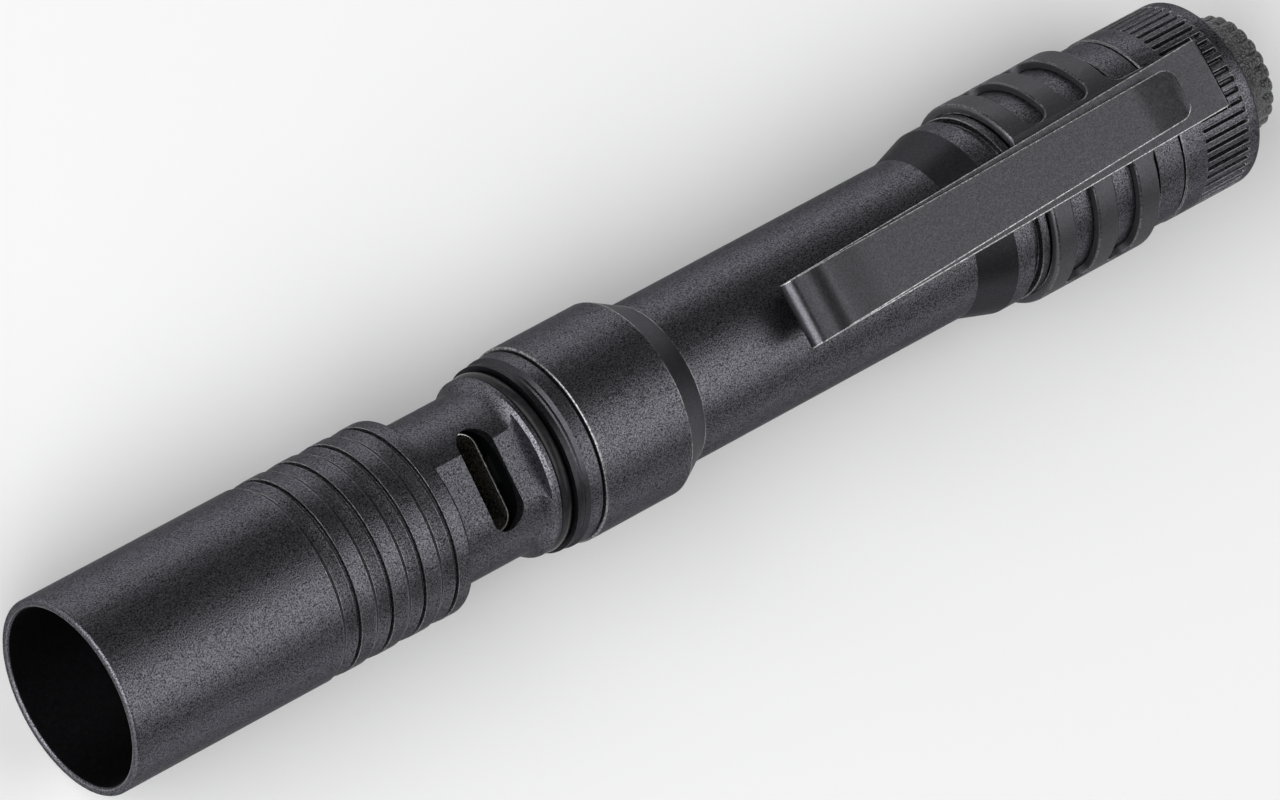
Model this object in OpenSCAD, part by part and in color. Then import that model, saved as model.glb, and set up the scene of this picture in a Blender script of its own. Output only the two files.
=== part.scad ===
// Rechargeable penlight with a head sleeve that slides forward to uncover the charging port.
// It lies along X with the beam towards +X and the pocket clip up, and rests on its widest ring.
// The sleeve is drawn pushed forward, as it is for charging. Lengths are in millimetres.

/* [Head sleeve] */
// Length of the head sleeve
sleeve_len = 35; // [34:0.1:40]
// Wall of the sleeve round the mouth
sleeve_wall = 0.8; // [0.7:0.05:1.2]
// Rounding of the lip at the mouth
lip_round = 0.3; // [0.1:0.05:0.35]
// Rounding of the sleeve's rear rim
rim_round = 0.4; // [0.1:0.05:0.45]
// Number of ring grooves round the sleeve
ring_count = 4; // [1:1:4]
// Distance from one ring groove to the next
ring_pitch = 3.4; // [3.2:0.1:3.5]
// Distance of the last ring groove ahead of the rear rim
ring_last = 3; // [2.6:0.1:6]
// Depth of a ring groove
ring_depth = 0.22; // [0.1:0.02:0.3]
// Length of the short slope into a ring groove
ring_entry = 0.6; // [0.3:0.1:0.8]
// Length of the long slope out of a ring groove
ring_exit = 1.2; // [0.8:0.1:1.4]
// Height of the small step that ends a ring groove
ring_step = 0.12; // [0.04:0.02:0.2]

/* [Lens and lamp] */
// Diameter of the lens
lens_d = 12.5; // [12:0.1:13]
// Thickness of the lens
lens_t = 1.6; // [1:0.1:2.5]
// Distance of the bezel behind the mouth when the sleeve is slid back
bezel_recess = 1.6; // [1:0.1:3]
// Length of the bezel ring
bezel_len = 4; // [3.5:0.1:5]
// Thickness of the bezel's front lip
bezel_lip = 0.8; // [0.5:0.1:1.2]
// How far the bezel stands out from the neck, which stops the sleeve
bezel_step = 0.5; // [0.4:0.05:0.8]
// How far the bezel's lip covers the lens
bezel_cover = 0.8; // [0.5:0.1:1.2]
// Thickness of the seal in front of the lens
lens_seal_t = 0.7; // [0.5:0.1:1]
// Length of the reflector
reflector_len = 9; // [7:0.5:9.5]
// Diameter of the hole at the reflector's base
reflector_hole_d = 3.8; // [3.6:0.1:5]
// Outside diameter of the reflector's base
reflector_base_d = 8.6; // [7:0.1:10]
// Diameter of the lamp chip's base
lamp_d = 3.4; // [2.8:0.1:3.5]
// Thickness of the lamp chip's base
lamp_t = 0.7; // [0.4:0.1:1]
// Diameter of the lamp chip's dome
lamp_dome_d = 2.7; // [2:0.1:2.8]
// Thickness of a round circuit board
disc_t = 1; // [0.6:0.1:1.6]

/* [Neck] */
// Wall of the neck tube
neck_wall = 1; // [0.8:0.05:1.4]
// Length of neck that shows with the sleeve forward
neck_show = 8.2; // [6.5:0.1:9]
// Least thickness of the web between the lamp and the charging board
web_t = 1.5; // [1:0.1:4]
// Diameter of the hole for the leads through the web
lead_hole_d = 3.4; // [3:0.1:4]
// Diameter of a lead with its insulation
lead_d = 0.8; // [0.5:0.1:0.8]
// How far the leads lie along the charging board
lead_lap = 1; // [0.5:0.1:1.5]
// Thickness of the seal between neck and sleeve
front_seal_t = 0.8; // [0.6:0.05:1]
// Depth of the flat milled on the neck round the port
flat_depth = 0.6; // [0.3:0.05:0.7]
// How far the flat reaches under the sleeve
flat_under = 3; // [1:0.5:5]
// How far ahead of the front flange's crest the flat ends
flat_stop = 0.3; // [0.2:0.1:1]
// Length of the threaded spigot behind the neck
neck_spigot_len = 7.5; // [6:0.1:8]
// Wall of the threaded spigot
neck_spigot_wall = 0.7; // [0.5:0.05:0.8]

/* [Charging port] */
// Width of the port's metal shell
port_w = 8.94; // [8.5:0.02:9.2]
// Thickness of the port's metal shell
port_t = 3.26; // [3.1:0.02:3.5]
// Sheet thickness of the port's shell
port_wall = 0.32; // [0.2:0.02:0.4]
// Distance of the port behind the sleeve's rear rim
port_behind = 5.1; // [3.4:0.1:5.5]
// How far the shell's edge lies below the flat
port_sink = 2.6; // [0.9:0.1:3]
// Angle from the clip round to the port
port_turn = 5; // [0:1:20]
// Width of the port's tongue
tongue_w = 6.69; // [6:0.01:6.7]
// Thickness of the port's tongue
tongue_t = 0.7; // [0.5:0.05:0.8]
// How far the tongue ends below the shell's edge
tongue_sink = 0.7; // [0.3:0.1:1.5]
// Length of the charging board
board_len = 16; // [14:0.5:17]
// How far the charging board reaches ahead of the port
board_ahead = 7.4; // [7:0.1:7.6]
// Gap between the web and the charging board
board_end_gap = 1; // [0.5:0.1:1.5]
// Thickness of the charging board
board_t = 1; // [0.6:0.1:1.2]
// Distance of the charging board's upper face below the axis
board_drop = 1.2; // [0.8:0.1:2]
// Size of the square choke on the charging board
choke_w = 3.2; // [2.5:0.1:3.4]
// Height of the choke
choke_h = 1.6; // [1:0.1:2]
// Size of a square chip on the charging board
chip_w = 2.4; // [1.5:0.1:2.6]
// Height of a chip
chip_h = 0.8; // [0.4:0.1:1]
// Gap between pieces on the charging board
part_gap = 0.7; // [0.4:0.1:1]

/* [Seal flanges] */
// Length of the slope up to the front flange
flange_slope = 1.4; // [1:0.1:2]
// Height of the front flange above the neck
flange_rise = 0.75; // [0.6:0.05:0.8]
// Width of a flange's crest
flange_w = 0.35; // [0.2:0.05:0.6]
// Thickness of the port seal ring
port_seal_t = 1.3; // [1:0.05:1.4]
// How far the port seal stands above the front flange
port_seal_proud = 0.1; // [0.02:0.02:0.14]
// How far the rear flange laps the sleeve's rim, which stops it
stop_lap = 0.23; // [0.1:0.01:0.3]
// Width of the groove behind the rear flange
stop_groove_w = 0.9; // [0.3:0.05:1.2]
// Depth of the groove behind the rear flange
stop_groove_depth = 0.3; // [0.1:0.05:0.4]
// Step up from the rear flange to the land behind it
land_step = 0.15; // [0.05:0.05:0.25]
// Width of the land behind the flanges
land_w = 1.25; // [0.8:0.05:2]
// Width of the parting groove between neck and barrel
parting_w = 0.25; // [0.2:0.05:0.9]

/* [Barrel] */
// Wall of the barrel round the cell
barrel_wall = 1.78; // [1.5:0.02:2]
// Step up from the flange land to the collar
collar_step = 0.24; // [0.1:0.02:0.5]
// Length of the collar
collar_len = 9.2; // [8:0.1:10]
// Chamfer on the collar's front edge
collar_edge = 0.1; // [0.05:0.05:0.2]
// Length of the slope from the collar down to the barrel
collar_slope = 2.7; // [1.5:0.1:4]
// Length of the slope from the barrel up to the grip's seat
cone_len = 3.6; // [3:0.1:6]
// Height of the grip's seat above the barrel
seat_rise = 1.1; // [1:0.05:1.5]
// Width of the land in front of the grip
seat_land_w = 1.9; // [1:0.1:3]
// Width of the narrow groove in front of the grip
trim_groove_w = 0.9; // [0.5:0.1:1.2]
// Depth of that groove
trim_groove_depth = 0.6; // [0.3:0.05:0.8]
// Width of the thin ridge between that groove and the grip
trim_ridge_w = 0.8; // [0.5:0.05:1]

/* [Grip] */
// Thickness of the grip
grip_wall = 0.77; // [0.6:0.01:1]
// Width of one band of the grip
band_w = 2.2; // [1.6:0.1:2.6]
// Width of one row of slots
slot_w = 2.5; // [1.8:0.1:3]
// Number of rows of slots
slot_rows = 2; // [1:1:2]
// Angle from the clip to the near end of a slot
slot_start = 26; // [24:1:30]
// Angle from the clip to the far end of a slot
slot_end = 84; // [70:1:85]
// Rounding of the grip's edges
grip_edge = 0.38; // [0.1:0.02:0.38]
// Length of the bare seat between grip and tail cap
recess_len = 3.65; // [2.5:0.05:4]

/* [Cell] */
// Diameter of the rechargeable cell
cell_d = 10.5; // [10:0.1:11]
// Length of the cell without its terminal
cell_len = 45.5; // [42:0.5:46]
// Diameter of the cell's terminal
terminal_d = 3.6; // [3:0.1:5]
// Length of the cell's terminal
terminal_len = 1; // [0.6:0.1:1.5]
// Length of the front contact spring
front_spring_len = 2.6; // [2:0.1:3]
// Length of the rear contact spring
rear_spring_len = 3.9; // [3:0.1:4]
// Diameter of the front contact spring at the middle of its wire
front_coil_d = 3; // [2.4:0.1:3.4]
// Diameter of the rear contact spring at the middle of its wire
rear_coil_d = 5.2; // [4:0.1:6]
// Wire of the contact springs
contact_wire_d = 0.4; // [0.3:0.02:0.5]
// Turns of the front contact spring
front_turns = 3; // [2:1:4]
// Turns of the rear contact spring
rear_turns = 4; // [3:1:6]

/* [Tail] */
// Step up from the grip's seat to the tail cap
cap_step = 0.09; // [0:0.01:0.3]
// Length of the plain land on the tail cap
cap_land = 2.5; // [2:0.1:4]
// Length of the plain rim behind the grooves on the tail cap
cap_rim = 1.5; // [1:0.1:2]
// Rounding of the tail cap's end
cap_round = 0.6; // [0.3:0.1:0.9]
// Thickness of the tail cap's end wall
cap_wall = 1.5; // [1:0.1:2]
// Wall of the tail cap's threaded spigot
cap_spigot_wall = 1.2; // [1.1:0.05:1.3]
// Distance of the switch board inside the cap's front face
cap_overlap = 4.4; // [4:0.1:5]
// Number of grooves round the tail cap
serration_count = 56; // [24:2:72]
// Width of a groove on the tail cap
serration_w = 0.36; // [0.2:0.02:0.4]
// Depth of a groove on the tail cap
serration_depth = 0.3; // [0.1:0.02:0.5]
// Diameter of the switch housing
switch_d = 11.8; // [11:0.1:12]
// Length of the switch housing
switch_len = 7.8; // [7:0.1:9]
// Length of the ring that holds the switch in
retainer_len = 1.5; // [1:0.1:1.8]
// Bore of the ring that holds the switch in
retainer_bore_d = 8.2; // [7:0.1:9]
// Thickness of the tail seal ring
tail_seal_t = 0.9; // [0.7:0.05:1]

/* [Button] */
// Diameter of the tail button
button_d = 10.7; // [9:0.1:10.8]
// Height of the tail button above the cap
button_h = 4.5; // [2.4:0.1:5]
// Travel of the tail button
button_travel = 1.5; // [1:0.1:2]
// Thickness of the flange that keeps the button in
button_flange_t = 0.9; // [0.6:0.1:1.2]
// Number of scallops round the button
scallop_count = 24; // [12:1:24]
// Diameter of one scallop
scallop_d = 0.9; // [0.4:0.1:1]
// Length of the scallops from the button's end
scallop_len = 1.4; // [0.8:0.1:2]
// Rounding of the button's end
button_edge = 0.5; // [0.2:0.05:0.8]
// Diameter of the switch plunger's stem
plunger_d = 3.6; // [3:0.1:3.8]
// How far the plunger's collar stands out from its stem
plunger_collar = 1; // [0.6:0.1:1.2]
// Wire of the switch spring
switch_wire_d = 0.5; // [0.3:0.05:0.5]
// Turns of the switch spring
switch_turns = 4; // [3:1:6]

/* [Clip] */
// Length of the clip
clip_len = 47.85; // [40:0.05:50]
// Width of the clip at its root
clip_w_root = 6.4; // [5.5:0.1:7]
// Width of the clip at its tip
clip_w_tip = 5.85; // [5:0.05:6.5]
// Width of the upper strip at its free end
strip_w_end = 4.6; // [4:0.1:5.5]
// Sheet thickness of the clip
clip_t = 0.5; // [0.4:0.05:0.6]
// Gap between the clip's two layers
layer_gap = 0.35; // [0.3:0.05:0.6]
// Radius of the fold at the tip
fold_r = 0.8; // [0.7:0.05:1]
// How far the clip reaches over the tail cap
clip_over = 5; // [3:0.1:6]
// Distance of the upper strip's free end from the clip's rear edge
strip_short = 4.5; // [4:0.1:6]
// How far the upper strip's free end flares up
strip_flare = 0.5; // [0:0.1:0.8]
// Length of the flare
flare_len = 4; // [2:0.5:6]
// Length over which the upper strip rises behind the fold
strip_dip_len = 6; // [4:0.5:10]
// Width of the lug that keys the clip to the grip
lug_w = 3.4; // [2.5:0.1:4]
// Depth of the flat on the grip under the clip
spine_cut = 0.3; // [0.2:0.05:0.35]

/* [Clearances] */
// Clearance between pieces that are pushed together
seat_gap = 0.05; // [0.02:0.01:0.08]
// Clearance of the sleeve on the neck
guide_gap = 0.08; // [0.04:0.01:0.1]
// Clearance of the mouth round the bezel
bezel_gap = 0.15; // [0.1:0.05:0.3]
// Clearance of a sliding seal
slide_gap = 0.07; // [0.03:0.01:0.1]
// Clearance at the end of a travel
stop_gap = 0.2; // [0.1:0.05:0.3]
// Clearance of the cell in the barrel
cell_gap = 0.3; // [0.2:0.05:0.4]
// Clearance of the button in the cap
button_gap = 0.12; // [0.08:0.02:0.2]
// Clearance of the clip over the grip
clip_gap = 0.1; // [0.08:0.02:0.2]

/* [Hidden] */
$fn = 96;
arc_steps = 6;
cut_over = 1;
// Radii, from the lens out to the sleeve and collar
lens_r = lens_d / 2;
neck_bore = lens_r + seat_gap;
neck_r = neck_bore + neck_wall;
bezel_r = neck_r + bezel_step;
mouth_r = bezel_r + bezel_gap;
sleeve_r = mouth_r + sleeve_wall;
guide_r = neck_r + guide_gap;
flange_r = neck_r + flange_rise;
port_seal_r = flange_r + port_seal_proud;
skirt_r = port_seal_r + slide_gap;
stop_r = skirt_r + stop_lap;
land_r = stop_r + land_step;
collar_r = land_r + collar_step;
neck_spigot_r = neck_bore + neck_spigot_wall;
bezel_thread_r = neck_bore + neck_wall / 2;
flat_h = neck_r - flat_depth;
// Radii, from the cell out to the grip and tail cap
cell_r = cell_d / 2;
barrel_bore = cell_r + cell_gap;
barrel_r = barrel_bore + barrel_wall;
seat_r = barrel_r + seat_rise;
grip_r = seat_r + grip_wall;
cap_r = seat_r + cap_step;
switch_r = switch_d / 2;
cap_bore = switch_r + seat_gap;
cap_spigot_r = cap_bore + cap_spigot_wall;
button_r = button_d / 2;
// Distances behind the mouth, head end
s_foot = sleeve_len + neck_show;
s_crest = s_foot + flange_slope;
seal_room = port_seal_t + 2 * seat_gap;
s_seal = s_crest + flange_w + seal_room / 2;
s_stop = s_crest + flange_w + seal_room;
sleeve_travel = s_stop - stop_gap - sleeve_len;
s_bezel = sleeve_travel + bezel_recess;
s_bezel_end = s_bezel + bezel_len;
s_shoulder = s_bezel_end + stop_gap;
s_lens = s_bezel + bezel_lip + lens_seal_t;
s_reflector = s_lens + lens_t;
s_port = sleeve_len + port_behind;
s_board = s_port - board_ahead;
s_web_end = s_board - board_end_gap;
s_led_board = min(s_reflector + reflector_len, s_web_end - web_t - disc_t);
s_web = s_led_board + disc_t;
s_land = s_stop + flange_w + stop_groove_w;
s_neck_end = s_land + land_w;
s_collar = s_neck_end + parting_w;
s_collar_end = s_collar + collar_len;
s_barrel = s_collar_end + collar_slope;
s_neck_spigot = s_neck_end + neck_spigot_len;
// Inside of the sleeve's skirt, which clears the front flange when the sleeve is back
s_skirt_cone = s_foot - sleeve_travel - 2 * stop_gap;
s_skirt = s_crest - sleeve_travel - 2 * stop_gap;
s_front_seal = (s_shoulder + sleeve_travel + s_skirt_cone) / 2;
// Distances behind the mouth, tail end
s_cell = s_neck_spigot + front_spring_len + terminal_len;
s_cell_end = s_cell + cell_len;
s_switch_board = s_cell_end + rear_spring_len;
s_cap = s_switch_board + cap_overlap;
s_cap_spigot = s_switch_board - retainer_len - stop_gap;
s_switch = s_switch_board + disc_t;
s_switch_end = s_switch + switch_len;
s_button_flange = s_switch_end + button_travel + stop_gap;
s_cap_wall = s_button_flange + button_flange_t + stop_gap;
s_cap_end = s_cap_wall + cap_wall;
s_serration = s_cap + cap_land;
s_cap_round = s_cap_end - cap_round;
s_serration_end = s_cap_end - cap_rim;
s_end = s_cap_end + button_h;
grip_len = band_w * (slot_rows + 1) + slot_w * slot_rows;
s_grip_end = s_cap - recess_len;
s_grip = s_grip_end - grip_len;
s_trim_ridge = s_grip - stop_gap - trim_ridge_w;
s_seat_land_end = s_trim_ridge - trim_groove_w;
s_seat_land = s_seat_land_end - seat_land_w;
s_cone = s_seat_land - cone_len;
// Clip heights above the axis and distances behind the mouth
spine_h = grip_r - spine_cut;
clip_bottom = spine_h + clip_gap;
clip_top = clip_bottom + clip_t;
strip_bottom = clip_top + layer_gap;
s_clip_rear = s_cap + clip_over;
s_clip_butt = s_grip_end + stop_gap;
s_tip = s_clip_rear - clip_len;
s_strip = s_tip + 2 * fold_r + clip_gap;
s_strip_end = s_clip_rear - strip_short;
s_flare = s_strip_end - flare_len;
lug_len = recess_len - 4 * stop_gap;
lug_depth = spine_h - seat_r - 2 * seat_gap;
// Place of the whole light: its middle over the origin, its widest ring on the ground
x_mouth = s_end / 2;
z_axis = max(grip_r, collar_r, sleeve_r, cap_r);
// Colours
anodised = [0.14, 0.14, 0.15];
satin_black = [0.1, 0.1, 0.11];
rubber = [0.06, 0.06, 0.065];
bright = [0.75, 0.75, 0.77];
board_green = [0.08, 0.3, 0.16];

// Points on an arc about [r, s]
function arc(r, s, radius, from, to) =
    [for (i = [0:arc_steps]) let (a = from + (to - from) * i / arc_steps)
        [r + radius * cos(a), s + radius * sin(a)]];

// Width of the clip at a distance behind the mouth
function clip_w(s) = clip_w_tip + (clip_w_root - clip_w_tip) * (s - s_tip) / clip_len;

// Puts what is drawn along a rising z, counted back from the mouth, into its place along X
module place() translate([x_mouth, 0, z_axis]) rotate([0, -90, 0]) children();

// Turned shape from points [radius, distance behind the mouth]
module turned(points) place() rotate_extrude() polygon(points);

// Round bar or disc between two distances behind the mouth
module disc(r, s0, s1) place() translate([0, 0, s0]) cylinder(r = r, h = s1 - s0);

// Ring of round section
module round_seal(outer_r, thick, s)
    place() translate([0, 0, s]) rotate_extrude() translate([outer_r - thick / 2, 0]) circle(d = thick);

// Flat shape drawn as [across, along] and raised between two heights above the axis
module plate(low, high)
    translate([low, 0, 0]) rotate([90, 0, 90]) linear_extrude(high - low) children();

// Side view drawn as [height, along] and extended evenly to both sides
module side(width) rotate([90, 0, 0]) linear_extrude(width, center = true) children();

// Slot outline with round ends, long across the light
module stadium(w, t) {
    square([w - t, t], center = true);
    for (end = [-1, 1]) translate([end * (w - t) / 2, 0]) circle(d = t);
}

// Coil spring as one unbroken tube, from z = 0 up
module coil(coil_r, wire_r, length, turns) {
    sides = 6;
    turn_steps = 8;
    rings = turn_steps * turns;
    rise = length - 2 * wire_r;
    points = [for (i = [0:rings]) for (j = [0:sides - 1])
        let (a = 360 * i / turn_steps, b = 360 * j / sides, r = coil_r + wire_r * cos(b))
        [r * cos(a), r * sin(a), wire_r + rise * i / rings + wire_r * sin(b)]];
    quads = [for (i = [0:rings - 1]) for (j = [0:sides - 1])
        let (k = (j + 1) % sides, m = i * sides, n = m + sides) [m + j, m + k, n + k, n + j]];
    walls = [for (q = quads) each [[q[0], q[1], q[2]], [q[0], q[2], q[3]]]];
    caps = [for (j = [1:sides - 2]) each
        [[0, j + 1, j], [rings * sides, rings * sides + j, rings * sides + j + 1]]];
    polyhedron(points, concat(walls, caps));
}

module head_sleeve() {
    lip = min(lip_round, sleeve_wall / 2 - seat_gap);
    rim = min(rim_round, sleeve_r - skirt_r - seat_gap);
    grooves = [for (i = [ring_count - 1:-1:0]) let (s = sleeve_len - ring_last - i * ring_pitch) each
        [[sleeve_r, s - ring_entry], [sleeve_r - ring_depth, s],
         [sleeve_r - ring_step, s + ring_exit], [sleeve_r, s + ring_exit + ring_step]]];
    color(anodised) turned(concat(
        arc(sleeve_r - lip, lip, lip, 270, 360),
        grooves,
        arc(sleeve_r - rim, sleeve_len - rim, rim, 0, 90),
        [[skirt_r, sleeve_len], [skirt_r, s_skirt], [guide_r, s_skirt_cone],
         [guide_r, s_shoulder], [mouth_r, s_shoulder]],
        arc(mouth_r + lip, lip, lip, 180, 270)));
}

module neck_tube() {
    seal_floor = port_seal_r - port_seal_t - seat_gap;
    front_floor = guide_r - slide_gap / 2 - front_seal_t - seat_gap;
    front_room = front_seal_t / 2 + seat_gap;
    color(anodised) difference() {
        turned([
            [neck_bore, s_lens], [bezel_thread_r, s_lens], [bezel_thread_r, s_bezel_end],
            [neck_r, s_bezel_end], [neck_r, s_front_seal - front_room],
            [front_floor, s_front_seal - front_room], [front_floor, s_front_seal + front_room],
            [neck_r, s_front_seal + front_room], [neck_r, s_foot],
            [flange_r, s_crest], [flange_r, s_crest + flange_w],
            [seal_floor, s_crest + flange_w], [seal_floor, s_stop],
            [stop_r, s_stop], [stop_r, s_stop + flange_w],
            [stop_r - stop_groove_depth, s_stop + flange_w + stop_groove_w / 2],
            [land_r, s_land], [land_r, s_neck_end],
            [neck_spigot_r, s_neck_end], [neck_spigot_r, s_neck_spigot],
            [neck_bore, s_neck_spigot], [neck_bore, s_web_end],
            [lead_hole_d / 2, s_web_end], [lead_hole_d / 2, s_web], [neck_bore, s_web]]);
        place() rotate([0, 0, port_turn]) {
            plate(flat_h, sleeve_r) translate([-neck_r, sleeve_len - flat_under])
                square([2 * neck_r, s_crest - flat_stop - sleeve_len + flat_under]);
            plate(0, sleeve_r) translate([0, s_port]) stadium(port_w + 2 * seat_gap, port_t + 2 * seat_gap);
        }
    }
}

module bezel_ring() {
    lip_r = lens_r - bezel_cover;
    slope = bezel_lip / 2;
    edge = bezel_lip / 4;
    thread_r = bezel_thread_r + seat_gap;
    color(satin_black) turned([
        [lip_r + slope, s_bezel], [bezel_r - edge, s_bezel], [bezel_r, s_bezel + edge],
        [bezel_r, s_bezel_end], [thread_r, s_bezel_end], [thread_r, s_lens],
        [neck_bore, s_lens], [neck_bore, s_bezel + bezel_lip],
        [lip_r, s_bezel + bezel_lip], [lip_r, s_bezel + slope]]);
}

module lens_seal() color(rubber) round_seal(lens_r, lens_seal_t, s_lens - lens_seal_t / 2);

module lens() color([0.8, 0.85, 0.9, 0.4]) disc(lens_r, s_lens, s_reflector);

module reflector() {
    rim_r = lens_r - bezel_cover / 2;
    hole_r = reflector_hole_d / 2;
    depth = s_led_board - s_reflector;
    bowl = [for (i = [0:2 * arc_steps]) let (r = hole_r + (rim_r - hole_r) * i / (2 * arc_steps))
        [r, s_led_board - depth * (r * r - hole_r * hole_r) / (rim_r * rim_r - hole_r * hole_r)]];
    color(bright) turned(concat(bowl,
        [[lens_r, s_reflector], [lens_r, s_reflector + disc_t],
         [reflector_base_d / 2, s_led_board], [hole_r, s_led_board]]));
}

module lamp_chip() {
    s_dome = s_led_board - lamp_t;
    color([0.95, 0.9, 0.5]) {
        disc(lamp_d / 2, s_dome, s_led_board);
        turned(concat([[0, s_dome]], arc(0, s_dome, lamp_dome_d / 2, 360, 270)));
    }
}

module lamp_board() color([0.85, 0.85, 0.82]) disc(lens_r, s_led_board, s_web);

module lamp_leads()
    color("firebrick") place() rotate([0, 0, port_turn]) for (side = [-1, 1])
        translate([lead_d / 2 - board_drop, side * lead_d, s_web])
            cylinder(d = lead_d, h = s_board + lead_lap - s_web);

module front_seal_ring() color(rubber) round_seal(guide_r - slide_gap / 2, front_seal_t, s_front_seal);

module port_seal_ring() color(rubber) round_seal(port_seal_r, port_seal_t, s_seal);

module charge_board() {
    half_w = sqrt(pow(neck_bore, 2) - pow(board_drop + board_t, 2)) - seat_gap;
    color(board_green) place() rotate([0, 0, port_turn]) plate(-board_drop - board_t, -board_drop)
        translate([-half_w, s_board]) square([2 * half_w, board_len]);
}

module board_parts() {
    s_ahead = s_port - port_t / 2 - part_gap;
    s_behind = s_port + port_t / 2 + part_gap;
    color([0.2, 0.2, 0.22]) place() rotate([0, 0, port_turn]) {
        plate(-board_drop, -board_drop + choke_h)
            translate([part_gap, s_ahead - choke_w]) square(choke_w);
        plate(-board_drop, -board_drop + chip_h)
            translate([-part_gap - chip_w, s_ahead - chip_w]) square(chip_w);
        plate(-board_drop, -board_drop + chip_h)
            translate([-chip_w / 2, s_behind]) square(chip_w);
    }
}

module port_shell()
    color(bright) place() rotate([0, 0, port_turn]) translate([0, 0, s_port])
        plate(-board_drop, flat_h - port_sink) difference() {
            stadium(port_w, port_t);
            stadium(port_w - 2 * port_wall, port_t - 2 * port_wall);
        }

module port_tongue() {
    foot_h = tongue_t;
    color([0.05, 0.05, 0.05]) place() rotate([0, 0, port_turn]) translate([0, 0, s_port]) {
        plate(-board_drop, -board_drop + foot_h)
            stadium(port_w - 2 * port_wall - 2 * seat_gap, port_t - 2 * port_wall - 2 * seat_gap);
        plate(-board_drop, flat_h - port_sink - tongue_sink) square([tongue_w, tongue_t], center = true);
    }
}

module contact_board() color(board_green) disc(neck_bore - seat_gap, s_neck_spigot - disc_t, s_neck_spigot);

module front_contact_spring()
    color("gold") place() translate([0, 0, s_neck_spigot])
        coil(front_coil_d / 2, contact_wire_d / 2, front_spring_len, front_turns);

module joint_seal() color(rubber) round_seal(stop_r, parting_w, s_neck_end + parting_w / 2);

module barrel() {
    joint_bore = neck_spigot_r + seat_gap;
    cap_seat = cap_spigot_r + seat_gap;
    floor_r = seat_r - trim_groove_depth;
    color(anodised) turned([
        [joint_bore, s_collar], [collar_r - collar_edge, s_collar], [collar_r, s_collar + collar_edge],
        [collar_r, s_collar_end], [barrel_r, s_barrel], [barrel_r, s_cone], [seat_r, s_seat_land],
        [seat_r, s_seat_land_end], [floor_r, s_seat_land_end], [floor_r, s_trim_ridge],
        [seat_r, s_trim_ridge], [seat_r, s_cap - stop_gap],
        [cap_seat, s_cap - stop_gap], [cap_seat, s_cap_spigot - stop_gap],
        [barrel_bore, s_cap_spigot - stop_gap], [barrel_bore, s_neck_spigot + stop_gap],
        [joint_bore, s_neck_spigot + stop_gap]]);
}

module battery_cell()
    color("royalblue") {
        disc(cell_r, s_cell, s_cell_end);
        disc(terminal_d / 2, s_cell - terminal_len, s_cell);
    }

// Slot through the grip from one angle to another, with round ends
module grip_slot(s, from, to) {
    end_turn = asin(slot_w / 2 / grip_r);
    translate([0, 0, s]) {
        rotate([0, 0, from + end_turn]) rotate_extrude(angle = to - from - 2 * end_turn)
            translate([seat_r - cut_over, -slot_w / 2]) square([grip_wall + 2 * cut_over, slot_w]);
        for (turn = [from + end_turn, to - end_turn])
            rotate([0, 90, turn]) cylinder(d = slot_w, h = grip_r + cut_over);
    }
}

module grip_sleeve() {
    bore = seat_r + seat_gap;
    edge = min(grip_edge, grip_wall / 2);
    s_spine_end = s_grip_end + recess_len - stop_gap;
    slot_pitch = band_w + slot_w;
    color(satin_black) difference() {
        turned([[bore, s_grip], [grip_r - edge, s_grip], [grip_r, s_grip + edge],
            [grip_r, s_spine_end], [bore, s_spine_end]]);
        place() {
            rotate([0, 0, slot_start]) rotate_extrude(angle = 360 - 2 * slot_start) polygon([
                [bore - cut_over, s_grip_end], [grip_r - edge, s_grip_end],
                [grip_r + cut_over, s_grip_end - edge - cut_over],
                [grip_r + cut_over, s_spine_end + cut_over], [bore - cut_over, s_spine_end + cut_over]]);
            for (row = [0:slot_rows - 1]) for (half = [0, 1]) for (side = [0, 1])
                mirror([0, side, 0]) mirror([half, 0, 0])
                    grip_slot(s_grip + band_w + slot_w / 2 + row * slot_pitch, slot_start, slot_end);
            plate(spine_h, grip_r + cut_over) translate([-grip_r, s_grip - cut_over])
                square([2 * grip_r, s_spine_end - s_grip + 2 * cut_over]);
            plate(seat_r - cut_over, spine_h + cut_over)
                translate([-lug_w / 2 - seat_gap, s_clip_butt + stop_gap - seat_gap])
                    square([lug_w + 2 * seat_gap, lug_len + 2 * seat_gap]);
        }
    }
}

module clip_base()
    color(satin_black) place() {
        plate(clip_bottom, clip_top) polygon([
            [-clip_w(s_clip_butt) / 2, s_clip_butt], [clip_w(s_clip_butt) / 2, s_clip_butt],
            [clip_w_root / 2, s_clip_rear], [-clip_w_root / 2, s_clip_rear]]);
        plate(spine_h - lug_depth, clip_bottom)
            translate([-lug_w / 2, s_clip_butt + stop_gap]) square([lug_w, lug_len]);
    }

module clip_arm() {
    s_fold = s_tip + fold_r;
    s_arm_end = s_clip_butt - clip_gap;
    fold_h = clip_bottom + fold_r - clip_t;
    color(satin_black) place() difference() {
        union() {
            plate(clip_bottom, clip_top) polygon([
                [-clip_w_tip / 2, s_fold], [clip_w_tip / 2, s_fold],
                [clip_w(s_arm_end) / 2, s_arm_end], [-clip_w(s_arm_end) / 2, s_arm_end]]);
            translate([fold_h, 0, s_fold]) rotate([90, 0, 0])
                cylinder(r = fold_r, h = clip_w_tip, center = true);
        }
        translate([fold_h, 0, s_fold]) rotate([90, 0, 0])
            cylinder(r = fold_r - clip_t, h = clip_w_tip + cut_over, center = true);
    }
}

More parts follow.
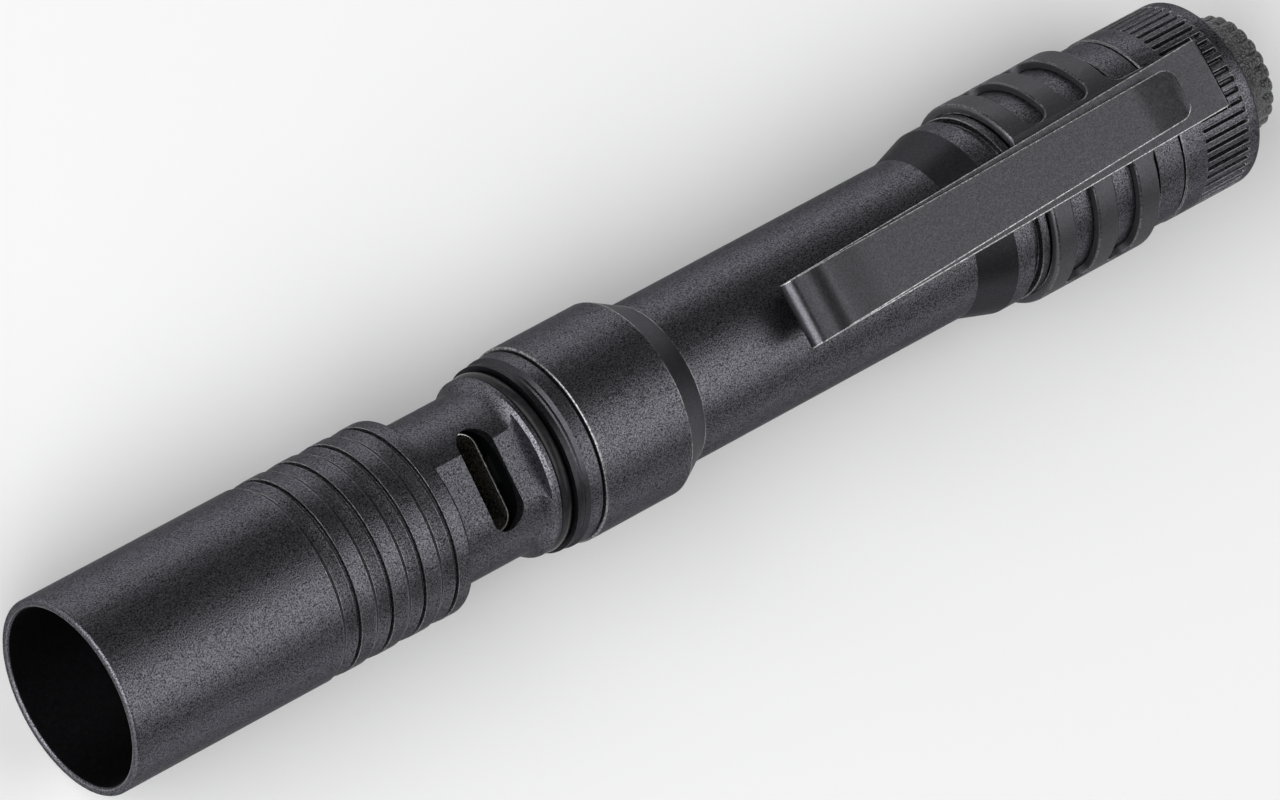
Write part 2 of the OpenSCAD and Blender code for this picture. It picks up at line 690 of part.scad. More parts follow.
module clip_strip() {
    dip_bottom = clip_top + clip_gap;
    s_rise = s_strip + strip_dip_len / 3;
    s_level = s_strip + strip_dip_len;
    flare_bottom = strip_bottom + strip_flare;
    corner = strip_w_end / 4;
    half_w = clip_w_tip / 2;
    half_end = strip_w_end / 2;
    color(satin_black) place() intersection() {
        side(2 * clip_w_root) polygon([
            [dip_bottom, s_strip], [dip_bottom, s_rise],
            [strip_bottom, s_level], [strip_bottom, s_flare],
            [flare_bottom, s_strip_end], [flare_bottom + clip_t, s_strip_end],
            [strip_bottom + clip_t, s_flare], [strip_bottom + clip_t, s_level],
            [dip_bottom + clip_t, s_rise], [dip_bottom + clip_t, s_strip]]);
        plate(0, 2 * strip_bottom) polygon(concat(
            [[half_w, s_strip]],
            arc(half_end - corner, s_strip_end - corner, corner, 0, 90),
            arc(corner - half_end, s_strip_end - corner, corner, 90, 180),
            [[-half_w, s_strip]]));
    }
}

module tail_cap() {
    seal_floor = cap_spigot_r + seat_gap - slide_gap / 2 - tail_seal_t - seat_gap;
    seal_room = tail_seal_t / 2 + seat_gap;
    s_tail_seal = s_cap - cap_overlap / 2;
    button_hole_r = button_r + button_gap;
    serration_len = s_serration_end - s_serration;
    color(anodised) difference() {
        turned(concat(
            [[cap_bore, s_cap_spigot], [cap_spigot_r, s_cap_spigot], [cap_spigot_r, s_tail_seal - seal_room],
             [seal_floor, s_tail_seal - seal_room], [seal_floor, s_tail_seal + seal_room],
             [cap_spigot_r, s_tail_seal + seal_room], [cap_spigot_r, s_cap], [cap_r, s_cap]],
            arc(cap_r - cap_round, s_cap_round, cap_round, 0, 90),
            [[button_hole_r, s_cap_end], [button_hole_r, s_cap_wall], [cap_bore, s_cap_wall]]));
        place() for (i = [0:serration_count - 1]) rotate([0, 0, 360 * (i + 0.5) / serration_count])
            plate(cap_r - serration_depth, cap_r + cut_over)
                translate([-serration_w / 2, s_serration]) square([serration_w, serration_len]);
    }
}

module tail_seal_ring()
    color(rubber) round_seal(cap_spigot_r + seat_gap - slide_gap / 2, tail_seal_t, s_cap - cap_overlap / 2);

module switch_retainer()
    color("goldenrod") turned([
        [retainer_bore_d / 2, s_switch_board - retainer_len], [switch_r, s_switch_board - retainer_len],
        [switch_r, s_switch_board], [retainer_bore_d / 2, s_switch_board]]);

module switch_board() color(board_green) disc(switch_r, s_switch_board, s_switch);

module switch_housing() {
    plunger_room = plunger_d / 2 + plunger_collar + stop_gap;
    color([0.12, 0.12, 0.12]) turned([
        [0, s_switch], [switch_r, s_switch], [switch_r, s_switch_end],
        [plunger_d / 2 + stop_gap, s_switch_end], [plunger_d / 2 + stop_gap, s_switch_end - disc_t],
        [plunger_room, s_switch_end - disc_t], [plunger_room, s_switch + disc_t], [0, s_switch + disc_t]]);
}

module rear_contact_spring()
    color("gold") place() translate([0, 0, s_cell_end])
        coil(rear_coil_d / 2, contact_wire_d / 2, rear_spring_len, rear_turns);

module switch_spring() {
    s_collar_face = s_switch_end - stop_gap - 2 * disc_t;
    color("silver") place() translate([0, 0, s_switch + disc_t])
        coil(plunger_d / 2, switch_wire_d / 2, s_collar_face - s_switch - disc_t, switch_turns);
}

module switch_plunger() {
    collar_end = s_switch_end - disc_t - stop_gap;
    color([0.85, 0.85, 0.85]) {
        disc(plunger_d / 2 + plunger_collar, collar_end - disc_t, collar_end);
        disc(plunger_d / 2, collar_end, s_button_flange);
    }
}

module tail_button() {
    keep_r = cap_bore - button_gap;
    color(rubber) difference() {
        turned(concat(
            [[0, s_button_flange], [keep_r, s_button_flange], [keep_r, s_button_flange + button_flange_t],
             [button_r, s_button_flange + button_flange_t]],
            arc(button_r - button_edge, s_end - button_edge, button_edge, 0, 90),
            [[0, s_end]]));
        place() for (i = [0:scallop_count - 1]) rotate([0, 0, 360 * i / scallop_count])
            translate([button_r, 0, s_end - scallop_len]) cylinder(d = scallop_d, h = scallop_len + cut_over);
    }
}

head_sleeve();
neck_tube();
bezel_ring();
lens_seal();
lens();
reflector();
lamp_chip();
lamp_board();
lamp_leads();
front_seal_ring();
port_seal_ring();
charge_board();
board_parts();
port_shell();
port_tongue();
contact_board();
front_contact_spring();
joint_seal();
barrel();
battery_cell();
grip_sleeve();
clip_base();
clip_arm();
clip_strip();
tail_cap();
tail_seal_ring();
switch_retainer();
switch_board();
switch_housing();
rear_contact_spring();
switch_spring();
switch_plunger();
tail_button();
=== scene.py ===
"""Slim rechargeable penlight, lying with its pocket clip up and its head sleeve slid forward.

The light runs along X with its beam towards +X. As on a turner's drawing, a place on it is given by its
distance behind the sleeve's mouth and its distance out from the light's axis.
"""

import math

import bmesh
import bpy
from bpy.props import FloatProperty, FloatVectorProperty, IntProperty, PointerProperty
from bpy.types import Operator, Panel, PropertyGroup
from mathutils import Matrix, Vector


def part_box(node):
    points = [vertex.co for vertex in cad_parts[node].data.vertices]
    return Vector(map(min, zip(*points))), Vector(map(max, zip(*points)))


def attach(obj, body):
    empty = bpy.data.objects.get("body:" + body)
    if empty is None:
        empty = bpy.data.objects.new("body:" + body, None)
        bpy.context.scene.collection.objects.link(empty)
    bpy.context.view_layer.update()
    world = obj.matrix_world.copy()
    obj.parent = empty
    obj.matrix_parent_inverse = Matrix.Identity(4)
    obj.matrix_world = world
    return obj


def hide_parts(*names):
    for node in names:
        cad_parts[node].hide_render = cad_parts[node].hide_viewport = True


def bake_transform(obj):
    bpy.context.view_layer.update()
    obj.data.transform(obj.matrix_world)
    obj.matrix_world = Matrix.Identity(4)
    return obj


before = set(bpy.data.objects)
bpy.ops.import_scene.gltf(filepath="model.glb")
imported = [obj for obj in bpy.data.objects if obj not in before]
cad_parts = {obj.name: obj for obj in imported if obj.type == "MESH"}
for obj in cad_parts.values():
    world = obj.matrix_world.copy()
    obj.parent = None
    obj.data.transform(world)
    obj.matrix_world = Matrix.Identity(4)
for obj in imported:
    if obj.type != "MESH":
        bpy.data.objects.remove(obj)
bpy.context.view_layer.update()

bl_info = {
    "name": "Penlight",
    "version": (1, 0, 0),
    "blender": (4, 5, 0),
    "location": "3D View > Sidebar > Penlight",
    "description": "Models a slim rechargeable penlight and the studio it lies in",
    "category": "Add Mesh",
}

MM = 0.001
MERGE = 0.0005 * MM
SLEEVE_LOW, SLEEVE_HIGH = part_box("head_sleeve")
MOUTH_X = SLEEVE_HIGH.x
AXIS_Z = (SLEEVE_LOW.z + SLEEVE_HIGH.z) / 2
TURN_STEPS = 192


def metric(label, note, millimetres):
    """Length that the user can change, given in millimetres and kept in metres."""
    return FloatProperty(name=label, description=note, default=millimetres * MM, unit="LENGTH", precision=5)


def bearing(label, note, degrees):
    """Angle that the user can change, given in degrees and kept in radians."""
    return FloatProperty(name=label, description=note, default=math.radians(degrees), subtype="ANGLE")


def number_of(label, note, count, least, most):
    """Number of like shapes that the user can change."""
    return IntProperty(name=label, description=note, default=count, min=least, max=most)


def level(label, note, amount):
    """Plain amount that the user can change."""
    return FloatProperty(name=label, description=note, default=amount)


def shade(label, note, red, green, blue):
    """Colour that the user can change."""
    return FloatVectorProperty(
        name=label, description=note, default=(red, green, blue), subtype="COLOR", size=3, min=0.0, max=1.0
    )


class PenlightHeadSizes(PropertyGroup):
    """Sizes of the head sleeve, the lamp and the neck."""

    sleeve_length: metric("Sleeve length", "Length of the head sleeve", 35.0)
    sleeve_radius: metric("Sleeve radius", "Outer radius of the head sleeve", 8.75)
    mouth_radius: metric("Mouth radius", "Inner radius of the sleeve at its mouth", 7.95)
    guide_radius: metric("Guide radius", "Inner radius of the sleeve where it runs on the neck", 7.38)
    skirt_radius: metric("Skirt radius", "Inner radius of the sleeve at its rear end", 8.22)
    lip: metric("Lip rounding", "Rounding of the sleeve's mouth", 0.3)
    rim: metric("Rim rounding", "Rounding of the sleeve's rear rim", 0.4)
    ring_pitch: metric("Ring pitch", "Distance from one ring groove to the next", 3.4)
    ring_last: metric("Last ring", "Distance of the last ring groove ahead of the rear rim", 3.0)
    ring_depth: metric("Ring depth", "Depth of a ring groove", 0.3)
    ring_step: metric("Ring step", "Height of the step that ends a ring groove", 0.04)
    bezel_at: metric("Bezel place", "Distance of the bezel behind the mouth", 12.75)
    bezel_radius: metric("Bezel radius", "Outer radius of the bezel ring", 7.8)
    lens_radius: metric("Lens radius", "Radius of the lens", 6.25)
    neck_radius: metric("Neck radius", "Outer radius of the neck", 7.3)
    flat_height: metric("Flat height", "Distance of the neck's milled flat from the axis", 6.7)
    port_at: metric("Port place", "Distance of the charging port behind the mouth", 40.1)
    port_width: metric("Port width", "Outer width of the port's shell", 8.94)
    port_thick: metric("Port thickness", "Outer thickness of the port's shell", 3.26)
    port_turn: bearing("Port angle", "Angle from the clip round to the port", 5)
    ring_count: number_of("Rings", "Number of ring grooves", 4, 1, 4)


class PenlightTailSizes(PropertyGroup):
    """Sizes of the barrel, the grip, the clip, the tail cap and the button."""

    collar_at: metric("Collar place", "Distance of the collar behind the mouth", 49.1)
    collar_length: metric("Collar length", "Length of the collar", 9.2)
    collar_radius: metric("Collar radius", "Outer radius of the collar", 8.84)
    barrel_radius: metric("Barrel radius", "Outer radius of the barrel's waist", 7.33)
    seat_radius: metric("Seat radius", "Outer radius of the grip's seat", 8.43)
    grip_at: metric("Grip place", "Distance of the grip behind the mouth", 98.5)
    grip_radius: metric("Grip radius", "Outer radius of the grip", 9.2)
    band_width: metric("Band width", "Width of one band of the grip", 2.2)
    slot_width: metric("Slot width", "Width of one row of slots", 2.5)
    slot_start: bearing("Slot start", "Angle from the spine to a slot's near end", 20)
    slot_end: bearing("Slot end", "Angle from the spine to a slot's far end", 88)
    grip_turn: bearing("Grip angle", "Angle by which the grip's spine is turned", -6)
    cap_at: metric("Cap place", "Distance of the tail cap behind the mouth", 113.75)
    cap_radius: metric("Cap radius", "Outer radius of the tail cap", 8.52)
    cap_end: metric("Cap end", "Distance of the tail cap's end behind the mouth", 122.45)
    serration_at: metric("Serration place", "Distance of the cap's grooves behind the mouth", 116.25)
    serration_depth: metric("Serration depth", "Depth of the cap's grooves", 0.42)
    serration_count: number_of("Serrations", "Number of grooves round the cap", 56, 24, 72)
    button_radius: metric("Button radius", "Radius of the tail button", 5.35)
    button_end: metric("Button end", "Distance of the button's end behind the mouth", 126.95)
    bump_count: number_of("Bumps", "Number of bumps round the button's end", 24, 12, 24)
    clip_tip: metric("Clip tip", "Distance of the clip's tip behind the mouth", 70.9)
    clip_rear: metric("Clip rear", "Distance of the clip's rear edge behind the mouth", 118.75)
    clip_width_tip: metric("Clip tip width", "Width of the clip at its tip", 5.85)
    clip_width_root: metric("Clip root width", "Width of the clip at its root", 6.4)
    clip_sheet: metric("Clip sheet", "Sheet thickness of the clip", 0.5)
    clip_height: metric("Clip height", "Distance of the clip's lower face from the axis", 9.0)
    layer_gap: metric("Layer gap", "Gap between the clip's two layers", 0.35)
    strip_end: metric("Strip end", "Distance of the upper strip's free end behind the mouth", 114.25)
    strip_width_end: metric("Strip end width", "Width of the upper strip at its free end", 4.6)
    strip_flare: metric("Strip flare", "How far the upper strip's free end flares up", 0.8)
    clip_lean: bearing("Clip lean", "Angle by which the clip is out of line with the light", 1.9)


class PenlightColours(PropertyGroup):
    """Colours of the finishes."""

    anodised: shade("Anodised", "Black anodised aluminium", 0.115, 0.114, 0.128)
    # Darker copy of the anodised colour: partly the smooth turned finish, partly painted shade in the bore,
    # on the bezel, between the neck's flanges and on the barrel's cone.
    turned: shade("Turned", "Anodised aluminium left smooth from the lathe", 0.050, 0.0495, 0.056)
    # Edge colour lighter than the anodising: partly wear, partly a painted highlight along the rounded edges.
    rubbed_and_highlight: shade("Highlight_and_wear edge", "Edges where the anodising is rubbed thin", 0.24, 0.24, 0.25)
    satin: shade("Satin plastic", "Satin black plastic of the grip", 0.088, 0.087, 0.096)
    # Grip rim colour lighter than the satin plastic: partly wear, partly a painted highlight on the slot
    # rims.
    worn_and_highlight: shade("Worn plastic", "Highlight_and_wear edges of the grip", 0.130, 0.130, 0.138)
    # Clip edge colour far lighter than the coating: partly uncoated steel, partly a painted highlight along
    # the clip's edges.
    bare_and_highlight: shade("Bare steel", "Edges of the clip where the coating is rubbed off", 0.52, 0.52, 0.53)
    steel: shade("Coated steel", "Black coated steel of the clip", 0.100, 0.099, 0.109)
    button: shade("Button rubber", "Black rubber of the button", 0.045, 0.045, 0.047)
    rubber: shade("Rubber", "Black rubber of the seals", 0.014, 0.014, 0.015)
    shell: shade("Port shell", "Bright steel of the charging port", 0.90, 0.90, 0.89)
    mirror: shade("Reflector", "Metal coat of the reflector", 0.86, 0.86, 0.88)
    phosphor: shade("Phosphor", "Phosphor of the lamp chip", 0.90, 0.74, 0.20)
    board: shade("Circuit board", "Black solder mask of the circuit boards", 0.012, 0.014, 0.016)
    brass: shade("Brass", "Brass of the contacts", 0.75, 0.55, 0.22)
    wrap: shade("Cell wrap", "Shrink wrap of the cell", 0.06, 0.12, 0.35)
    lead: shade("Lead", "Insulation of the leads", 0.50, 0.03, 0.03)
    moulded: shade("Moulded plastic", "Moulded plastic of switch and chips", 0.05, 0.05, 0.052)


class PenlightStudio(PropertyGroup):
    """Camera, lamps and floor."""

    camera_at: FloatVectorProperty(
        name="Camera",
        description="Place of the camera",
        default=(0.494034, 0.0, 0.845976),
        subtype="XYZ",
        unit="LENGTH",
    )
    camera_turn: FloatVectorProperty(
        name="Camera turn",
        description="Turn of the camera",
        default=tuple(math.radians(angle) for angle in (15.494, -26.450, 148.025)),
        subtype="EULER",
    )
    lens: level("Lens", "Focal length of the camera in millimetres", 330.3)
    floor_colour: shade("Floor", "Colour of the floor", 0.94, 0.94, 0.94)
    key_power: level("Key lamp", "Power of the lamp above the tail in watts", 4.4)
    side_power: level("Side lamp", "Power of the low lamp beside the light in watts", 0.75)
    front_power: level("Front lamp", "Power of the lamp in front in watts", 40.0)
    world_level: level("World", "Strength of the room's light", 0.11)


# Places on the light


def spot(behind, out, turn=0.0):
    """Point behind the mouth, out from the axis, and turned round from the clip towards +Y."""
    return Vector((MOUTH_X - behind, out * math.sin(turn), AXIS_Z + out * math.cos(turn)))


def on_flat(behind, across, height, turn):
    """Point behind the mouth on a flat that is turned round from the clip towards +Y."""
    cosine, sine = math.cos(turn), math.sin(turn)
    return spot(behind, 0) + Vector((0, across * cosine + height * sine, height * cosine - across * sine))


def arc(behind, out, radius, start, end, steps=10):
    """Profile points on an arc. An angle of 0 points to the tail and 90 points out."""
    angles = [math.radians(degrees) for degrees in spaced(start, end, steps)]
    return [(behind + radius * math.cos(a), out + radius * math.sin(a)) for a in angles]


def spaced(start, end, count):
    """Evenly spaced values from start to end."""
    return [start + (end - start) * i / count for i in range(count + 1)]


def stadium(width, thick, steps=16):
    """Outline of a slot with round ends, as (across, along)."""
    radius, middle = thick / 2, (width - thick) / 2
    outline = []
    for side in (1, -1):
        for turn in spaced(0.0, math.pi, steps):
            outline.append((side * (middle + radius * math.sin(turn)), side * -radius * math.cos(turn)))
    return outline


def oblong(left, right, front, rear):
    """Outline with four square corners, as (across, along)."""
    return [(left, front), (right, front), (right, rear), (left, rear)]


def even(radius):
    """Radius that is the same all round."""
    return lambda turn: radius


# Modelling by hand


def take_up(name):
    """Names the shape that was just added, applies its place and starts to edit all of it."""
    piece = bpy.context.active_object
    piece.name = piece.data.name = name
    bpy.ops.object.transform_apply(location=True, rotation=True, scale=True)
    bpy.ops.object.mode_set(mode="EDIT")
    bpy.ops.mesh.select_all(action="SELECT")
    return piece


def choose(piece):
    """Selects one piece alone and makes it the active one."""
    bpy.ops.object.select_all(action="DESELECT")
    piece.select_set(True)
    bpy.context.view_layer.objects.active = piece


def begin(name, place):
    """Starts a piece as a plane shrunk to one vertex, and stays in edit mode."""
    bpy.ops.object.select_all(action="DESELECT")
    bpy.ops.mesh.primitive_plane_add(size=MM, location=place)
    piece = take_up(name)
    bpy.ops.mesh.merge(type="CENTER")
    return piece


def draw(points):
    """Draws edges from the selected vertex at the first point through the others."""
    for here, there in zip(points, points[1:]):
        bpy.ops.mesh.extrude_vertices_move(TRANSFORM_OT_translate={"value": there - here})


def close_up():
    """Merges what meets and turns every face outwards."""
    bpy.ops.mesh.select_all(action="SELECT")
    bpy.ops.mesh.remove_doubles(threshold=MERGE)
    bpy.ops.mesh.normals_make_consistent(inside=False)
    bpy.ops.object.mode_set(mode="OBJECT")


def lathe(name, profile, steps=TURN_STEPS):
    """Turns a closed profile of places (behind the mouth, out from the axis) round the axis."""
    points = [spot(behind, out) for behind, out in profile]
    piece = begin(name, points[0])
    draw(points + points[:1])
    bpy.ops.mesh.select_all(action="SELECT")
    bpy.ops.mesh.remove_doubles(threshold=MERGE)
    bpy.ops.mesh.spin(steps=steps, angle=math.tau, center=spot(0, 0), axis=(1, 0, 0))
    close_up()
    return piece


def settle(piece, places):
    """Moves each selected vertex of the mesh under edit to the place that the function gives for it."""
    mesh = bmesh.from_edit_mesh(piece.data)
    for vertex in mesh.verts:
        if vertex.select:
            vertex.co = places(vertex.co)
    bmesh.update_edit_mesh(piece.data)


def loft(name, count, rings):
    """Draws a ring out along the light; each ring is (behind the mouth, radius at an angle)."""
    bpy.ops.object.select_all(action="DESELECT")
    bpy.ops.mesh.primitive_circle_add(
        vertices=count, radius=MM, location=spot(rings[0][0], 0), rotation=(0, math.pi / 2, 0)
    )
    piece = take_up(name)
    for number, (behind, radius) in enumerate(rings):
        if number:
            bpy.ops.mesh.extrude_region_move()

        def place(at, behind=behind, radius=radius):
            turn = math.atan2(at.y, at.z - AXIS_Z)
            return spot(behind, radius(turn), turn)

        settle(piece, place)
    return piece


def prism(name, loops):
    """Closed solid through loops that have the same number of points."""
    piece = begin(name, loops[0][0])
    draw(loops[0] + loops[0][:1])
    bpy.ops.mesh.select_all(action="SELECT")
    bpy.ops.mesh.remove_doubles(threshold=MERGE)
    bpy.ops.mesh.edge_face_add()
    for old, new in zip(loops, loops[1:]):
        bpy.ops.mesh.extrude_region_move()
        settle(piece, lambda at: new[min(range(len(old)), key=lambda i: (old[i] - at).length_squared)])
    close_up()
    return piece


def upright(name, at, turn, *levels):
    """Solid on a turned flat, through outlines of (across, along) about a place, each at its height."""
    loops = []
    for outline, height in levels:
        loops.append([on_flat(at + along, across, height, turn) for across, along in outline])
    return prism(name, loops)


def copied(piece, name, move):
    """Copy of a piece with a mesh of its own, moved by a distance."""
    choose(piece)
    bpy.ops.object.duplicate(linked=False)
    twin = bpy.context.active_object
    twin.name = twin.data.name = name
    bpy.ops.transform.translate(value=move)
    bpy.ops.object.transform_apply(location=True, rotation=True, scale=True)
    return twin


def apply_modifier(piece, modifier):
    """Applies a modifier to its piece."""
    choose(piece)
    bpy.ops.object.modifier_apply(modifier=modifier.name)


def reach(piece):
    """Lowest and highest coordinates of a piece."""
    rows = [vertex.co for vertex in piece.data.vertices]
    return [min(at[i] for at in rows) for i in range(3)], [max(at[i] for at in rows) for i in range(3)]


def cut(piece, *cutters):
    """Cuts each cutter's shape out of a piece and removes the cutter."""
    low, high = reach(piece)
    for cutter in cutters:
        tool = piece.modifiers.new("Cut", "BOOLEAN")
        tool.operation = "DIFFERENCE"
        tool.solver = "MANIFOLD"
        tool.object = cutter
        apply_modifier(piece, tool)
        bpy.data.objects.remove(cutter)
    new_low, new_high = reach(piece)
    if any(new_low[i] < low[i] - MERGE or new_high[i] > high[i] + MERGE for i in range(3)):
        raise RuntimeError(f"a cut went wrong on {piece.name}")


def round_edges(piece, width, segments, angle, material, clamp):
    """Rounds the edges sharper than an angle in degrees, and gives them a material by its number."""
    bevel = piece.modifiers.new("Round", "BEVEL")
    bevel.limit_method = "ANGLE"
    bevel.angle_limit = math.radians(angle)
    bevel.width = width
    bevel.segments = segments
    bevel.use_clamp_overlap = clamp
    bevel.material = material
    apply_modifier(piece, bevel)


def smooth(piece, angle=35):
    """Shades a piece smooth, with edges sharp from an angle in degrees and normals weighed by area."""
    choose(piece)
    bpy.ops.object.shade_smooth_by_angle(angle=math.radians(angle))
    weights = piece.modifiers.new("Weights", "WEIGHTED_NORMAL")
    weights.keep_sharp = True
    apply_modifier(piece, weights)


def complete(
    piece, body, slot, finish, *nodes, width=None, segments=2, angle=35, edge=None, limit=30, clamp=True
):
    """Colours, rounds and shades a piece, gives it its body, and hides the nodes that it stands for.

    Edges sharper than limit degrees are rounded, in the finish edge if there is one.
    """
    piece.data.materials.clear()
    piece.data.materials.append(finish)
    if edge:
        piece.data.materials.append(edge)
    if width:
        round_edges(piece, width, segments, limit, 1 if edge else -1, clamp)
    smooth(piece, angle)
    if body:
        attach(piece, body)
    if nodes:
        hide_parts(*nodes)
    return piece


def paint(piece, finish, wanted):
    """Gives a second finish to the plain faces that are wanted.

    wanted takes a face's distance behind the mouth and out from the axis, and its slope in degrees.
    """
    piece.data.materials.append(finish)
    number = len(piece.data.materials) - 1
    for face in piece.data.polygons:
        arm = Vector((0, face.center.y, face.center.z - AXIS_Z))
        slope = math.degrees(face.normal.angle(arm))
        if face.material_index == 0 and wanted(MOUTH_X - face.center.x, arm.length, slope):
            face.material_index = number


# Finishes


class Finish:
    """Material under construction, with its shader and the piece's own coordinates."""

    def __init__(self, name, colour, roughness, metallic=0.0, specular=0.5, edge=1.0):
        self.material = bpy.data.materials.new(name)
        self.material.use_nodes = True
        self.tree = self.material.node_tree
        self.shader = next(n for n in self.tree.nodes if n.type == "BSDF_PRINCIPLED")
        self.shader.inputs["Base Color"].default_value = (*colour, 1.0)
        self.shader.inputs["Roughness"].default_value = roughness
        self.shader.inputs["Metallic"].default_value = metallic
        self.shader.inputs["Specular IOR Level"].default_value = specular
        self.shader.inputs["Specular Tint"].default_value = (edge, edge, edge, 1.0)
        self.colour = colour
        self.coordinates = self.tree.nodes.new("ShaderNodeTexCoord")

    def link(self, source, target):
        """Joins two sockets."""
        self.tree.links.new(source, target)

    def noise(self, size, detail=2.0, stretch=(1.0, 1.0, 1.0)):
        """Noise with features of a size, stretched along the row's axes."""
        mapping = self.tree.nodes.new("ShaderNodeMapping")
        mapping.inputs["Scale"].default_value = [1.0 / (size * s) for s in stretch]
        texture = self.tree.nodes.new("ShaderNodeTexNoise")
        texture.inputs["Scale"].default_value = 1.0
        texture.inputs["Detail"].default_value = detail
        self.link(self.coordinates.outputs["Object"], mapping.inputs["Vector"])
        self.link(mapping.outputs["Vector"], texture.inputs["Vector"])
        return texture.outputs["Fac"]

    def cells(self, size):
        """Distance to the nearest of scattered points, as in a pebbled skin."""
        texture = self.tree.nodes.new("ShaderNodeTexVoronoi")
        texture.inputs["Scale"].default_value = 1.0 / size
        self.link(self.coordinates.outputs["Object"], texture.inputs["Vector"])
        return texture.outputs["Distance"]

    def spread(self, value, low, high, start=0.3, end=0.7):
        """Value mapped from a range to another."""
        node = self.tree.nodes.new("ShaderNodeMapRange")
        for socket, number in (("From Min", start), ("From Max", end), ("To Min", low), ("To Max", high)):
            node.inputs[socket].default_value = number
        self.link(value, node.inputs["Value"])
        return node.outputs["Result"]

    def mottle(self, value, dark, light):
        """Base colour that varies between two brightness factors."""
        ramp = self.tree.nodes.new("ShaderNodeValToRGB")
        for stop, place, factor in zip(ramp.color_ramp.elements, (0.32, 0.68), (dark, light)):
            stop.position = place
            stop.color = (*[min(c * factor, 1.0) for c in self.colour], 1.0)
        self.link(value, ramp.inputs["Fac"])
        self.link(ramp.outputs["Color"], self.shader.inputs["Base Color"])

    def bump(self, value, depth):
        """Raises the skin by a value of up to a depth."""
        node = self.tree.nodes.new("ShaderNodeBump")
        node.inputs["Strength"].default_value = 1.0
        node.inputs["Distance"].default_value = depth
        self.link(value, node.inputs["Height"])
        self.link(node.outputs["Normal"], self.shader.inputs["Normal"])

    def roughness(self, value, low, high):
        """Roughness that varies with a value."""
        self.link(self.spread(value, low, high), self.shader.inputs["Roughness"])


def blasted(name, colour):
    """Bead-blasted and anodised aluminium: a fine grain that sparkles here and there."""
    grain, depth, contrast = 0.13 * MM, 0.032 * MM, 0.85
    finish = Finish(name, colour, 0.45, metallic=1.0, edge=0.37)
    fine = finish.noise(grain, 3.0)
    finish.mottle(fine, 1.0 - contrast, 1.0 + contrast)
    finish.roughness(finish.noise(1.3 * grain, 1.0), 0.30, 0.42)
    finish.bump(fine, depth)
    return finish.material


def machined(name, colour):
    """Anodised aluminium left smooth from the lathe, with faint turning lines."""
    finish = Finish(name, colour, 0.4, metallic=1.0, edge=0.5)
    finish.mottle(finish.noise(0.2 * MM, 2.0), 0.85, 1.15)
    finish.roughness(finish.noise(0.3 * MM, 2.0), 0.36, 0.44)
    finish.bump(finish.noise(0.06 * MM, 1.0, (1.0, 60.0, 60.0)), 0.002 * MM)
    return finish.material


def rubbed_and_highlight(name, colour):
    """Edge finish lighter than the anodising: partly wear where handling thinned it, partly a painted
    highlight, with painted glints here and there.
    """
    finish = Finish(name, colour, 0.3, metallic=1.0, edge=0.8)
    finish.mottle(finish.noise(0.22 * MM, 2.0), 0.35, 1.4)
    finish.roughness(finish.noise(0.3 * MM, 2.0), 0.26, 0.4)
    finish.bump(finish.noise(0.1 * MM, 2.0), 0.004 * MM)
    return finish.material


def satin(name, colour):
    """Smooth satin skin with a very fine grain."""
    finish = Finish(name, colour, 0.5, metallic=0.85, specular=0.3, edge=0.5)
    finish.mottle(finish.noise(0.15 * MM, 2.0), 0.85, 1.2)
    finish.roughness(finish.noise(0.4 * MM, 2.0), 0.40, 0.48)
    finish.bump(finish.noise(0.08 * MM, 2.0), 0.003 * MM)
    return finish.material


def coated_steel(name, colour):
    """Black coating on spring steel, with a fine even grain."""
    finish = Finish(name, colour, 0.42, metallic=1.0, edge=0.5)
    fine = finish.noise(0.16 * MM, 3.0)
    finish.mottle(fine, 0.75, 1.25)
    finish.roughness(finish.noise(0.4 * MM, 2.0), 0.34, 0.44)
    finish.bump(fine, 0.008 * MM)
    return finish.material


def pebbled_rubber(name, colour):
    """Grainy rubber skin of the button."""
    finish = Finish(name, colour, 0.4, specular=1.0)
    pebbles = finish.cells(0.26 * MM)
    finish.mottle(pebbles, 1.5, 0.6)
    finish.roughness(finish.noise(0.5 * MM, 2.0), 0.3, 0.46)
    finish.bump(pebbles, 0.13 * MM)
    return finish.material


def seal_rubber(name, colour):
    """Smooth rubber with a film of grease."""
    finish = Finish(name, colour, 0.2, specular=0.15)
    finish.mottle(finish.noise(0.6 * MM, 2.0), 0.8, 1.25)
    finish.roughness(finish.noise(0.8 * MM, 3.0), 0.18, 0.28)
    finish.bump(finish.noise(0.12 * MM, 2.0), 0.003 * MM)
    return finish.material


def plain_plastic(name, colour, roughness=0.45):
    """Moulded plastic with a faint mottle."""
    finish = Finish(name, colour, roughness)
    finish.mottle(finish.noise(0.8 * MM, 3.0), 0.82, 1.2)
    finish.roughness(finish.noise(0.5 * MM, 2.0), roughness - 0.08, roughness + 0.08)
    finish.bump(finish.noise(0.1 * MM, 2.0), 0.004 * MM)
    return finish.material


def bright_metal(name, colour, roughness, peel=0.5):
    """Bare or plated metal with fine marks."""
    finish = Finish(name, colour, roughness, metallic=1.0)
    finish.mottle(finish.noise(0.4 * MM, 3.0), 0.85, 1.1)
    finish.roughness(finish.noise(0.3 * MM, 2.0), roughness * 0.7, roughness * 1.3)
    finish.bump(finish.noise(peel * MM, 1.0), 0.004 * MM)
    return finish.material


def clear_glass(name):
    """Coated lens glass with a faint haze."""
    finish = Finish(name, (0.95, 0.98, 0.97), 0.02)
    finish.shader.inputs["Transmission Weight"].default_value = 1.0
    finish.shader.inputs["IOR"].default_value = 1.5
    finish.roughness(finish.noise(2.5 * MM, 4.0), 0.01, 0.05)
    return finish.material


